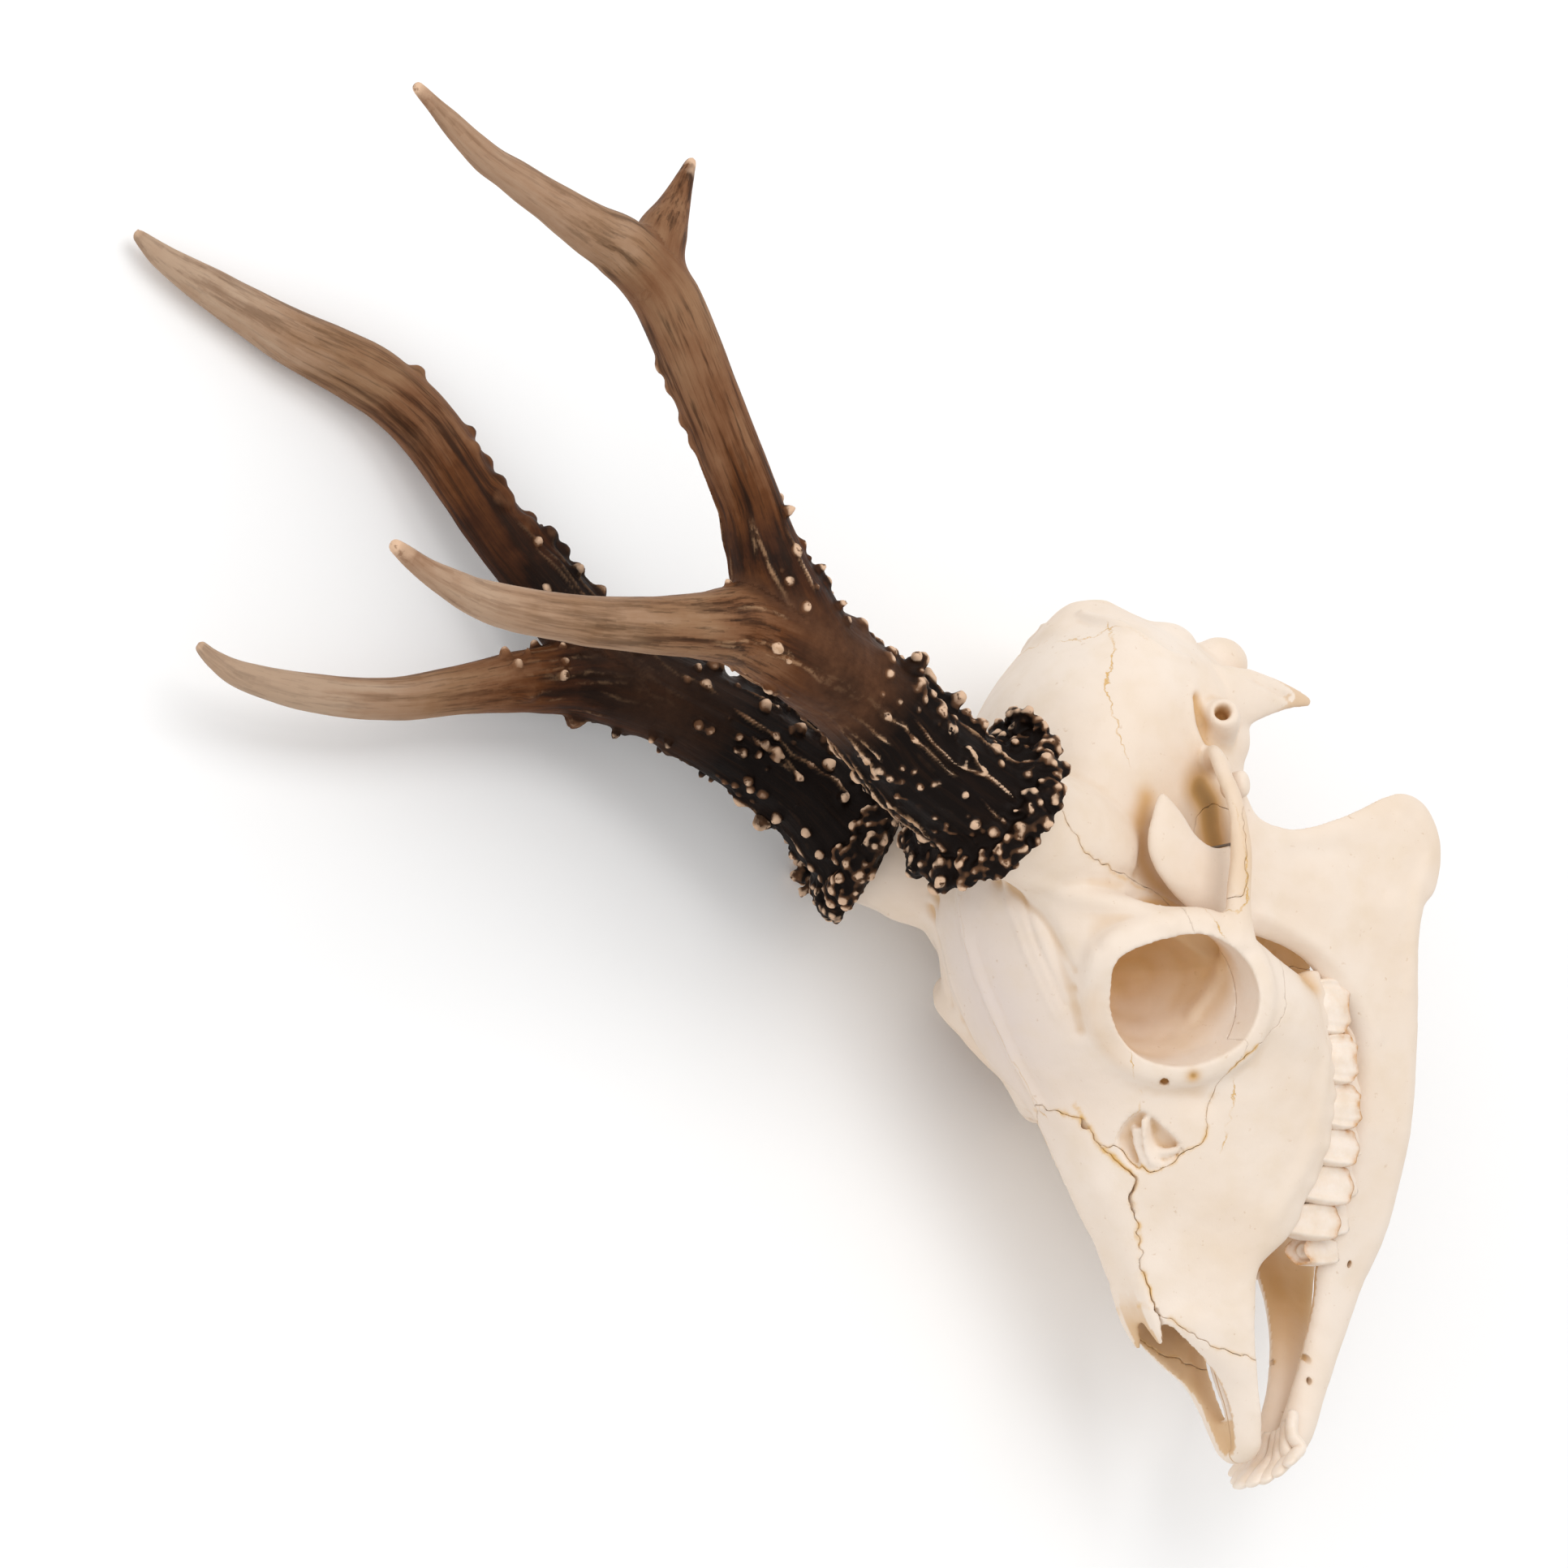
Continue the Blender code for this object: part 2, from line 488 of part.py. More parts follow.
def build_jaw(side):
    """One half of the lower jaw with its teeth."""
    name = "lower_jaw_left" if side == LEFT else "lower_jaw_right"
    plate_half = 3.0
    shape = bmesh.new()
    add_prism(shape, smooth_rows(JAW_OUTLINE, 3, closed=True), 0, -plate_half, plate_half)
    jaw = make_object(name, shape)
    melt(jaw, SKULL_GRAIN, 4)
    for vert in jaw.data.vertices:
        middle, half = jaw_middle(vert.co.y, vert.co.z)
        vert.co.x = side * (middle + vert.co.x / plate_half * half)
    shape = bmesh.new()
    shape.from_mesh(jaw.data)
    bpy.data.objects.remove(jaw)
    both = bmesh.new()
    add_cheek_teeth(both, LOWER_TEETH, LOWER_ROW_BACK, lower_row_x, lower_gum, -1)
    other = [vert for vert in both.verts if vert.co.x * side < 0]
    bmesh.ops.delete(both, geom=other, context="VERTS")
    teeth = bpy.data.meshes.new("teeth")
    both.to_mesh(teeth)
    both.free()
    shape.from_mesh(teeth)
    add_bar(shape, [(x * side, -52.6, 26.3, 3.2, 2.4) for x in (28, 30, 36, 38)], across=(0, 1, 0), steps=2)
    for k in range(4):
        x, y = 1.7 + 2.4 * k, 106.0 - 0.4 * k * k
        add_bar(shape, [(x * 0.8 * side, y - 12, -5, 1.5, 1.7), (x * side, y - 4, -1.5, 1.6, 1.3),
                        (x * 1.06 * side, y + 0.8, 3.6 - 0.9 * k, 1.8, 0.7)], steps=3, sides=10)
    jaw = make_object(name, shape)
    melt(jaw, SKULL_GRAIN, 2)
    thin_out(jaw, JAW_TRIANGLES)
    cut(jaw, chew_side(side, 1))
    cut(jaw, slab((-5 * side, 80, 0), (1, 0, 0), 120, 10 + GAP))
    return part_from(jaw, {name: (26 * side, 0, -25)})


# ---------------------------------------------------------------- antlers

# Rows of x, y, z and radius, from the burr to the tips
LEFT_ANTLER = {
    "beam": ((24.3, -41.5, 90, 13.0), (25, -45.5, 99.5, 12.4), (26.6, -52, 110.5, 11.9), (29, -60.5, 124.5, 11.5),
             (31.6, -67.5, 137, 11.2), (35, -76, 150, 10.8), (38.3, -88.5, 158.5, 8.4), (42.5, -110, 169, 6.4),
             (45.5, -123, 179.5, 6.9), (48.5, -136, 188, 7.4), (50.8, -147, 196, 7.6), (52, -153, 203, 7.0),
             (54, -157, 215.5, 5.8), (56, -161.5, 229, 5.3), (57.7, -168, 243, 4.3), (59.2, -174.5, 255, 2.7),
             (60, -178.3, 263.2, 0.7)),
    "brow": ((35.5, -79, 147, 9.0), (36.4, -75.5, 159.5, 9.0), (37.6, -72.8, 174, 7.7), (39, -71.2, 188, 6.4),
             (40.5, -70.2, 202, 6.1), (42, -69.7, 215.5, 5.8), (43, -70.4, 226.5, 5.2), (44, -71.9, 237.4, 4.4),
             (44.7, -74.3, 248, 3.5), (45, -77, 256, 2.3), (45, -80.3, 261.5, 0.7)),
    "rear": ((51, -145, 197, 5.0), (50.3, -155.8, 191.6, 5.0), (50.5, -162.3, 190.6, 3.7), (51, -168, 189.2, 2.7),
             (51.5, -173, 187.2, 1.8), (52, -176.3, 185.2, 0.8)),
}
RIGHT_ANTLER = {
    "beam": ((24.3, -42, 90, 13.0), (25.5, -48.5, 99.5, 12.4), (27.6, -58, 110, 11.9), (30, -67, 122, 11.6),
             (33.4, -75.5, 135, 11.4), (37, -84.5, 149, 11.0), (39, -94, 160.5, 9.6), (41, -104, 168.5, 8.2),
             (43.5, -115, 177, 7.6), (46, -126, 184.7, 7.7), (48.8, -135.5, 192, 7.9), (51, -143.5, 199, 7.8),
             (52.6, -148.8, 207, 7.4), (54.6, -154.5, 219.5, 6.8), (56.5, -160.5, 234, 6.0), (58, -167, 247.5, 4.7),
             (59.3, -173.5, 258.3, 2.8), (60, -177.8, 264.9, 0.7)),
    "brow": ((36.5, -84, 150, 9.0), (38, -80, 162, 8.6), (39.4, -77.6, 174, 7.2), (40.5, -75.3, 184.5, 6.2),
             (41.5, -72.6, 195, 5.6), (42.5, -71, 205.3, 5.2), (43.5, -69.8, 215.5, 4.8), (44, -69.3, 226, 4.4),
             (44.5, -69.6, 236, 3.8), (45, -71.5, 244.3, 3.1), (45, -75, 252.5, 2.1), (45, -78, 257.5, 0.7)),
}


def add_burr(shape, side):
    """The knobbly ring at the antler's foot."""
    centre, grow = antler_plane(side)
    turn = frame_along(grow)
    knobs = 17
    for k in range(knobs):
        angle = 2 * math.pi * k / knobs
        swell = 1 + 0.10 * math.sin(3 * angle + side) + 0.06 * math.sin(7 * angle)
        for height, share, size in ((1.8, 0.9, 4.0), (5.6, 0.76, 3.6)):
            out = Vector((math.cos(angle), math.sin(angle), 0)) * BURR_RADIUS * share * swell
            add_ball(shape, centre + turn @ (out + Vector((0, 0, height))), (size, size, size))
    core = [(*(centre + grow * h), r, r) for h, r in ((-4, 16), (1, 17.5), (5, 17), (9, 15), (12, 13))]
    add_bar(shape, core, steps=2)


def add_pearls(shape, rows, side):
    """Rows of pearls up the inner and back face of the lower beam."""
    line = smooth_rows(rows, 5)
    first, last, around = 8, 28, (2.2, 2.9, 3.7, 4.4)
    for n, i in enumerate(range(first, last, 2)):
        turn = frame_along(line[i + 1][:3] - line[i - 1][:3])
        for k, angle in enumerate(around):
            if (n + k) % 2:
                continue
            out = Vector((math.cos(angle), math.sin(angle), 0)) * (line[i][3] + 0.6)
            spot = Vector(line[i][:3]) + turn @ out
            add_ball(shape, vec(spot, side), (1.7, 1.7, 1.7))


def build_antler(side, horns, anchors, forks):
    """One antler, modelled whole and parted at its forks."""
    shape = bmesh.new()
    for rows in horns.values():
        add_horn(shape, rows, side)
    add_burr(shape, side)
    add_pearls(shape, horns["beam"], side)
    antler = make_object("antler", shape)
    melt(antler, ANTLER_GRAIN, 2)
    thin_out(antler, ANTLER_TRIANGLES)
    foot, grow = antler_plane(side)
    cut(antler, slab(foot + grow * (GAP - 15), grow, 70, 30))
    for centre, normal, across in forks:
        cut(antler, slab(vec(centre, side), vec(normal, side), across))
    return part_from(antler, {name: vec(point, side) for name, point in anchors.items()})


def build_antlers():
    """Both antlers; the right one has no rear tine."""
    main_forks = {LEFT: (((37.9, -88.2, 157.6), (0.3, -0.85, 0.45), 27), ((36.6, -74.9, 162), (0.1, 0.2, 1), 26)),
                  RIGHT: (((39.6, -97.2, 163.2), (0.15, -0.75, 0.6), 27), ((38.4, -79.2, 166), (0.1, 0.25, 1), 26))}
    left = build_antler(LEFT, LEFT_ANTLER, {
        "antler_left_beam": (34.6, -75, 130), "antler_left_brow_tine": (42, -69.7, 215),
        "antler_left_upper_beam": (45.5, -123, 179), "antler_left_top_tine": (56, -161, 229),
        "antler_left_rear_tine": (51, -168, 189)},
        main_forks[LEFT] + (((52.6, -154.2, 208), (0.15, -0.35, 1), 22), ((50.8, -160.3, 191.6), (0, -0.86, -0.5), 16)))
    right = build_antler(RIGHT, RIGHT_ANTLER, {
        "antler_right_beam": (34.6, -75, 130), "antler_right_brow_tine": (42, -69.7, 215),
        "antler_right_upper_beam": (45.5, -123, 183), "antler_right_top_tine": (56, -161, 233)},
        main_forks[RIGHT] + (((52.4, -148, 205.5), (0.2, -0.5, 1), 26),))
    return {**left, **right}


# ---------------------------------------------------------------- assembly

def finish(obj, look, pose):
    """Gives a piece its material, its place under the pose and its size in metres."""
    shape = bmesh.new()
    shape.from_mesh(obj.data)
    bmesh.ops.dissolve_limit(shape, angle_limit=0.01, verts=shape.verts, edges=shape.edges)
    bmesh.ops.dissolve_degenerate(shape, edges=shape.edges, dist=1e-3)
    bmesh.ops.triangulate(shape, faces=shape.faces)
    bmesh.ops.scale(shape, vec=(0.001, 0.001, 0.001), verts=shape.verts)
    shape.to_mesh(obj.data)
    shape.free()
    obj.data.shade_smooth()
    label, colour, roughness = look
    material = bpy.data.materials.new(obj.name + " " + label)
    material.use_nodes = True
    shader = material.node_tree.nodes["Principled BSDF"]
    shader.inputs["Base Color"].default_value = (*colour, 1)
    shader.inputs["Roughness"].default_value = roughness
    shader.inputs["Metallic"].default_value = 0
    obj.data.materials.clear()
    obj.data.materials.append(material)
    obj.parent = pose


def main():
    for obj in list(bpy.data.objects):
        bpy.data.objects.remove(obj, do_unlink=True)
    parts = build_skull()
    for side in (LEFT, RIGHT):
        parts.update(build_jaw(side))
    antlers = build_antlers()

    pose = bpy.data.objects.new("pose", None)
    pose.rotation_euler = [math.radians(angle) for angle in REST_TURN]
    pose.location = [shift * 0.001 for shift in REST_SHIFT]
    collection = bpy.data.collections.new("roe deer skull")
    bpy.context.scene.collection.children.link(collection)
    collection.objects.link(pose)
    for look, group in ((BONE, parts), (ANTLER, antlers)):
        for name, obj in group.items():
            obj.name = name
            finish(obj, look, pose)
            bpy.context.scene.collection.objects.unlink(obj)
            collection.objects.link(obj)


main()
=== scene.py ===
"""Roe deer skull with antlers and lower jaw, lying on its right side on a pale floor.

Sizes are in millimetres and in the animal's own directions, with x to its right, y to its nose and
z to its crown, and zero in the midline under the eye sockets. Left and right are the animal's own.
"""
import math

import bmesh
import bpy
import numpy as np
from mathutils import Euler, Matrix, Vector


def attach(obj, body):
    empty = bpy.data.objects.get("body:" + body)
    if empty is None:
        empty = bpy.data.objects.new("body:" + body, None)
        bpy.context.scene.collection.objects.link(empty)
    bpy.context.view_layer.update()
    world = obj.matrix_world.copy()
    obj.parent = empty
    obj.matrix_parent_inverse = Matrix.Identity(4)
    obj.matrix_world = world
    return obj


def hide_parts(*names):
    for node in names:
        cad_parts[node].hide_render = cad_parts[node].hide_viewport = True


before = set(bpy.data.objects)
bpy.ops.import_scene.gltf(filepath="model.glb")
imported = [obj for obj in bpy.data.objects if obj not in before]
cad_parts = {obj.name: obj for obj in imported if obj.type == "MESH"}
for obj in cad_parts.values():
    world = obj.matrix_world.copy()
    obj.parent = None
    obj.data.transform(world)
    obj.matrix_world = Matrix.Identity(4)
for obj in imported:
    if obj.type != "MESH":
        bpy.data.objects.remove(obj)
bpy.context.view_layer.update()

# ------------------------------------------------------------------ how it lies, and the camera
# The skull lies on its right cheek and the tip of its right antler, as the frame has it. The camera looks
# down on its left side from 1.5 m away, which gives the photograph's flat perspective.
REST_TURN = (6.48, 84.70, -171.91)           # degrees
REST_SHIFT = (117.52, -32.37, 42.54)
MM = 0.001
rest = (Matrix.Translation(Vector(REST_SHIFT) * MM)
        @ Euler([math.radians(angle) for angle in REST_TURN]).to_matrix().to_4x4())

VIEW_AXES = ((-0.56714, 0.03001, -0.82308), (-0.19505, -0.97580, 0.09882), (-0.80019, 0.21659, 0.55927))
VIEW_SHIFT = (108.587, -61.190, -40.0)       # where the zero point lies before the camera
VIEW_DISTANCE = 1500.0
PHOTO_WIDTH, FOCAL_PIXELS, SENSOR = 1932, 7950, 36.0

view = Matrix(VIEW_AXES).to_4x4()
view.translation = Vector(VIEW_SHIFT) * MM
camera_data = bpy.data.cameras.new("camera")
camera_data.sensor_width = SENSOR
camera_data.lens = SENSOR * FOCAL_PIXELS / PHOTO_WIDTH
camera = bpy.data.objects.new("camera", camera_data)
camera.matrix_world = rest @ view.inverted() @ Matrix.Translation((0, 0, VIEW_DISTANCE * MM))
bpy.context.scene.collection.objects.link(camera)
bpy.context.scene.camera = camera


# ------------------------------------------------------------------ studio
# A matt pale floor under soft light: a large lamp overhead, a weaker one from the antlers'
# side, and a pale room all round.
def linear(hex_colour):
    """An sRGB hex colour as linear red, green, blue and alpha."""
    parts = [int(hex_colour[i:i + 2], 16) / 255 for i in (1, 3, 5)]
    return (*[c / 12.92 if c <= 0.04045 else ((c + 0.055) / 1.055) ** 2.4 for c in parts], 1.0)


def add_node(material, kind, settings=None, out=0, **links):
    """Adds a node, sets it and feeds each input (by name or number) a value or another node's output."""
    tree = material.node_tree
    node = tree.nodes.new(kind)
    for name, value in (settings or {}).items():
        setattr(node, name, value)
    for name, value in links.items():
        socket = node.inputs[int(name[2:])] if name[2:].isdigit() else node.inputs[name.replace("_", " ")]
        if isinstance(value, bpy.types.NodeSocket):
            tree.links.new(value, socket)
        else:
            socket.default_value = value
    return node if out is None else node.outputs[out]


def new_material(name):
    """A material without nodes."""
    material = bpy.data.materials.new(name)
    material.use_nodes = True
    material.node_tree.nodes.clear()
    return material


paper = new_material("matt white studio paper")      # flat and glare-free
paper_shader = add_node(paper, "ShaderNodeBsdfPrincipled", Base_Color=linear("#FDFDFD"), Roughness=0.9)
add_node(paper, "ShaderNodeOutputMaterial", out=None, Surface=paper_shader)
FLOOR_SIZE = 12.0
floor_mesh = bpy.data.meshes.new("floor")
half = FLOOR_SIZE / 2
corners = [(-half, -half, 0), (half, -half, 0), (half, half, 0), (-half, half, 0)]
floor_mesh.from_pydata(corners, [], [(0, 1, 2, 3)])
floor_mesh.materials.append(paper)
floor = bpy.data.objects.new("floor", floor_mesh)
bpy.context.scene.collection.objects.link(floor)

world = bpy.data.worlds.new("pale room")
world.use_nodes = True
world.node_tree.nodes["Background"].inputs["Color"].default_value = linear("#FFFFFF")
world.node_tree.nodes["Background"].inputs["Strength"].default_value = 0.74
bpy.context.scene.world = world

LAMPS = (("key lamp", (0.05, 0.42, 1.3), 0.9, 6.2), ("fill lamp", (-0.95, 0.1, 0.9), 1.4, 3.0))
for name, place, size, power in LAMPS:
    lamp_data = bpy.data.lights.new(name, "AREA")
    lamp_data.shape, lamp_data.size, lamp_data.energy = "SQUARE", size, power
    lamp = bpy.data.objects.new(name, lamp_data)
    lamp.matrix_world = (Matrix.Translation(place)
                         @ Vector(place).to_track_quat("Z", "Y").to_matrix().to_4x4())
    bpy.context.scene.collection.objects.link(lamp)
bpy.context.scene.view_settings.view_transform = "Standard"


# ------------------------------------------------------------------ skull bones
# The cranium, cheek bones, upper jaws, nose bones and incisive bones: cleaned bone, grown together along
# toothed seams. It is modelled whole, from cross sections and the shapes on them, and parted at the seams.
LEFT, RIGHT = -1, 1


def smooth_rows(rows, steps, closed=False):
    """Rows of numbers on a smooth curve through the given rows."""
    p = np.array(rows, float)
    if closed:
        p = np.vstack([p[-1:], p, p[:2]])
    else:
        p = np.vstack([2 * p[:1] - p[1:2], p, 2 * p[-1:] - p[-2:-1]])
    a, b, c, d = p[:-3, None], p[1:-2, None], p[2:-1, None], p[3:, None]
    t = (np.arange(steps) / steps)[None, :, None]
    out = b + 0.5 * t * ((c - a) + t * (2 * a - 5 * b + 4 * c - d + t * (3 * b - a - 3 * c + d)))
    out = out.reshape(-1, p.shape[1])
    return out if closed else np.vstack([out, p[-2:-1]])


def loft(rings):
    """Points and faces of a closed skin over a row of like rings."""
    rings = np.array(rings, float)
    rows, count = rings.shape[:2]
    i, k = np.meshgrid(np.arange(rows - 1), np.arange(count), indexing="ij")
    j = (k + 1) % count
    faces = np.stack([i * count + k, i * count + j, (i + 1) * count + j, (i + 1) * count + k], -1)
    faces = faces.reshape(-1, 4).tolist()
    faces.append(list(range(count))[::-1])
    faces.append(list(range((rows - 1) * count, rows * count)))
    return rings.reshape(-1, 3), faces


def axes_along(ways, across):
    """For each way, two directions square to it, the first one near 'across'."""
    ways = ways / np.linalg.norm(ways, axis=1)[:, None]
    first = np.array(across, float) - ways * (ways @ np.array(across, float))[:, None]
    first /= np.linalg.norm(first, axis=1)[:, None]
    return first, np.cross(ways, first)


def lengths_along(line):
    """How far along the line each of its places is."""
    return np.r_[0, np.cumsum(np.linalg.norm(np.diff(line, axis=0), axis=1))]


def bar(rows, side=RIGHT, across=(1, 0, 0), sides=20, steps=4):
    """A bar through rows of x, y, z and its two half widths, the first one along 'across'."""
    line = smooth_rows(rows, steps)
    line[:, 0] *= side
    ways = np.gradient(line[:, :3], axis=0)
    first, second = axes_along(ways, across)
    turn = np.linspace(0, 2 * np.pi, sides, endpoint=False)
    rings = (line[:, None, :3] + first[:, None] * (np.cos(turn)[:, None] * line[:, None, 3:4])
             + second[:, None] * (np.sin(turn)[:, None] * line[:, None, 4:5]))
    return loft(rings)


def ball(centre, radii, side=RIGHT, sides=16):
    """An egg-shaped lump."""
    tilt = np.linspace(0, np.pi, sides // 2 + 1)[1:-1]
    turn = np.linspace(0, 2 * np.pi, sides, endpoint=False)
    unit = np.stack([np.sin(tilt)[:, None] * np.cos(turn), np.sin(tilt)[:, None] * np.sin(turn),
                     np.cos(tilt)[:, None] + 0 * turn], -1)
    return loft(unit * np.array(radii) + np.array((centre[0] * side, *centre[1:])))


def joined(name, shapes):
    """One object from many points-and-faces shapes."""
    points, faces, first = [], [], 0
    for some_points, some_faces in shapes:
        points.append(some_points)
        faces += [[index + first for index in face] for face in some_faces]
        first += len(some_points)
    mesh = bpy.data.meshes.new(name)
    mesh.from_pydata(np.vstack(points).tolist(), [], faces)
    obj = bpy.data.objects.new(name, mesh)
    bpy.context.scene.collection.objects.link(obj)
    return obj


def copy_of(obj):
    """A second object like this one, with its own mesh."""
    twin = obj.copy()
    twin.data = obj.data.copy()
    bpy.context.scene.collection.objects.link(twin)
    return twin


def apply_modifiers(obj):
    """Puts the object's modifiers into its mesh."""
    bpy.context.view_layer.update()
    mesh = bpy.data.meshes.new_from_object(obj.evaluated_get(bpy.context.evaluated_depsgraph_get()))
    obj.modifiers.clear()
    old, obj.data = obj.data, mesh
    bpy.data.meshes.remove(old)


def melt(obj, grain, smoothing):
    """Makes one even skin round all of the object's lumps, and rounds its creases."""
    remesh = obj.modifiers.new("skin", "REMESH")
    remesh.mode, remesh.voxel_size = "VOXEL", grain
    soften = obj.modifiers.new("soften", "SMOOTH")
    soften.factor, soften.iterations = 0.5, smoothing
    apply_modifiers(obj)


def outward(obj):
    """Makes all of the object's faces point outwards."""
    shape = bmesh.new()
    shape.from_mesh(obj.data)
    bmesh.ops.recalc_face_normals(shape, faces=shape.faces)
    shape.to_mesh(obj.data)
    shape.free()


def cut(obj, cutter, operation="DIFFERENCE", keep_cutter=False):
    """Cuts the object with another one."""
    outward(cutter)
    tool = obj.modifiers.new("cut", "BOOLEAN")
    tool.operation, tool.solver, tool.object = operation, "MANIFOLD", cutter
    apply_modifiers(obj)
    if not keep_cutter:
        bpy.data.objects.remove(cutter)


def points_of(obj):
    """The object's points as rows of x, y, z."""
    points = np.empty(len(obj.data.vertices) * 3, np.float32)
    obj.data.vertices.foreach_get("co", points)
    return points.reshape(-1, 3).astype(float)


def take_shape(obj):
    """The object's points and faces; the object itself goes."""
    shape = points_of(obj), [list(face.vertices) for face in obj.data.polygons]
    bpy.data.objects.remove(obj)
    return shape


def move_points(obj, points):
    """Puts the object's points in new places."""
    obj.data.vertices.foreach_set("co", points.astype(np.float32).ravel())
    obj.data.update()


def normals_of(obj):
    """The way that the surface faces at each point."""
    normals = np.empty(len(obj.data.vertices) * 3, np.float32)
    obj.data.vertex_normals.foreach_get("vector", normals)
    return normals.reshape(-1, 3).astype(float)


# Cross sections from the back of the head to the nose: y, height of the midline, then x, z of the edge of
# the roof, of the widest place and of the edge of the floor, and the height of the floor's midline
SECTIONS = (
    (-103.5, 40.5, 3, 40, 4, 38.5, 3, 37, 36.5),
    (-100.5, 45.5, 6.5, 43, 7.5, 38, 4.5, 31, 28),
    (-92.5, 54.5, 17, 48, 20.5, 38, 10, 14, 9),
    (-80, 64, 20, 57.5, 28.5, 39, 20, 11, 5),
    (-65, 71.5, 21, 64.5, 29.5, 43, 20.5, 11.5, 7),
    (-50, 76.5, 22, 70, 28, 47, 21, 12, 8),
    (-37, 80, 22, 74.5, 26.5, 56, 19.5, 13, 9),
    (-27, 81, 22, 75, 28, 60, 17, 15, 11),
    (-19, 79.5, 27, 67.5, 42, 36, 15, 19, 14),
    (-9, 76, 33, 61, 43, 29.5, 27, 1, 8),
    (3, 70.5, 25, 59.5, 42.2, 27, 29, -2.5, 5),
    (12, 65.5, 15, 58.5, 35, 30, 29, -4.5, 4),
    (20, 60, 9.5, 55.5, 30.5, 30, 28, -5, 4),
    (29, 54.5, 9, 51, 26.5, 30, 26.5, -4, 4),
    (40, 48.5, 8.5, 45.5, 22.5, 27, 23.5, -0.5, 5),
    (50, 42.5, 8.5, 39.5, 19, 22, 20, 3, 7),
    (57, 39.5, 8, 37, 17, 20, 15.5, 9.5, 11),
    (66, 35.5, 7.3, 33.3, 15, 18, 14.8, 10.5, 12),
    (71, 33, 8.8, 29.6, 14, 17, 14.5, 10.5, 11.5),
    (78, 23, 8.6, 21, 12.4, 14.3, 13.5, 9.3, 10),
    (85, 14.5, 6.4, 13.6, 10.6, 10.3, 12, 7.7, 8),
    (93, 11, 4.6, 10.5, 9, 7.8, 9.5, 5.3, 5.5),
    (98.5, 9.2, 4.4, 8.7, 7.2, 6.2, 6.5, 3.6, 3.5),
    (101.5, 7.5, 2.5, 7.2, 3.6, 6, 3, 4.5, 4.5),
)
ORBIT_CENTRE = np.array((34.5, -0.5, 45.5))
ORBIT_INWARD = np.array((-0.90, -0.38, -0.16))
ORBIT_DEPTH = 25.0
ORBIT_RIM = (                  # x, y, z round the right eye socket's edge, from the brow forwards
    (34, -8.7, 61.8), (28.8, -2, 60.4), (25.4, 3, 57.9), (23.4, 8.3, 52.8), (26, 12.8, 47.4),
    (32, 14.3, 40.2), (38.8, 9.8, 31.6), (42.7, 0.8, 28.6), (42.9, -8.8, 31.7), (41.5, -14.6, 41),
    (39, -13.4, 51.7))
PEDICLE = ((17, -36, 52, 12, 13), (20.5, -39, 68, 13, 15), (24.3, -42, 88.5, 12.4, 12.4),
           (26.6, -45.6, 95.3, 12.4, 12.4))
ARCH = ((42.9, -12, 32, 2.2, 4.0), (42.8, -22, 33, 2.0, 3.3), (43.1, -35, 31.5, 1.9, 2.9),
        (42.1, -46, 31.8, 1.6, 2.5), (39.8, -53.5, 33, 1.6, 2.2), (36.2, -58.6, 31.8, 1.7, 2.2),
        (31.5, -60.6, 29.2, 1.9, 2.4), (25.5, -59.5, 25.5, 2.6, 3))
JAW_SOCKET = ((35.8, -55.5, 30, 2.6, 1.3), (38.6, -54.5, 31, 2.6, 1.2))
NECK_SPIKE = ((21, -77, 18, 4.2, 9), (21, -79.5, 8, 3.0, 6.6), (20.6, -80.3, -2, 1.9, 3.6),
              (20.2, -79.7, -10.5, 0.9, 1.3))
EAR_TUBE = ((22, -69, 20, 5, 5), (28, -70.5, 23.6, 4.6, 4.6), (31.8, -71.2, 25.8, 3.5, 3.5))
THROAT_WALL = ((10, -4, 2, 1.8, 12), (10.5, -14, -1, 1.5, 13.5), (10.5, -25, 0, 1.4, 13),
               (11, -38, 5, 1.2, 9))
NASAL_TIPS = ((3.4, 60, 36.6, 3.2, 1.6), (3.6, 67, 34.3, 3.1, 1.4), (4.0, 71.5, 32.4, 2.2, 1.1),
              (4.4, 75, 30.8, 1.0, 0.7))
GUM_EDGE = ((27.9, -12, 0.6, 2.5, 3.0), (28.4, -5, 0, 2.6, 3.0), (28.4, 3, -0.6, 2.6, 3.0),
            (27.2, 14.4, -2.6, 2.5, 3.0), (24.9, 24.4, -3.3, 2.4, 3.0), (22, 32.7, -2.4, 2.3, 3.0),
            (19.6, 41.6, 1.8, 2.2, 3.0), (17.5, 48, 5, 2, 2.6))
NECK_CREST = ((0, -101, 39, 4, 3.0), (0, -98.6, 45, 7, 3.4), (0, -91.5, 52, 9, 3.4))
SKULL_GRAIN = 0.63


def section_ring(row, steps=8):
    """A smooth closed ring from one row of SECTIONS."""
    y, crest, roof_x, roof_z, side_x, side_z, floor_x, floor_z, keel = row
    half_ring = [(roof_x, roof_z), (side_x, side_z), (floor_x, floor_z)]
    around = [(0, crest)] + half_ring + [(0, keel)] + [(-x, z) for x, z in half_ring[::-1]]
    ring = smooth_rows(around, steps, closed=True)
    return np.insert(ring, 1, y, axis=1)


rim = smooth_rows(ORBIT_RIM, 4, closed=True)
closed_rim = np.vstack([rim, rim[:1]])


def rim_bar(scale, inward, thick, side):
    """A bar round the eye socket, so much wider than its edge and so much deeper."""
    edge = ORBIT_CENTRE + (closed_rim - ORBIT_CENTRE) * scale + ORBIT_INWARD * inward
    return bar(np.hstack([edge, np.full((len(edge), 2), thick)]), side, across=(side, 0, 0), steps=1)


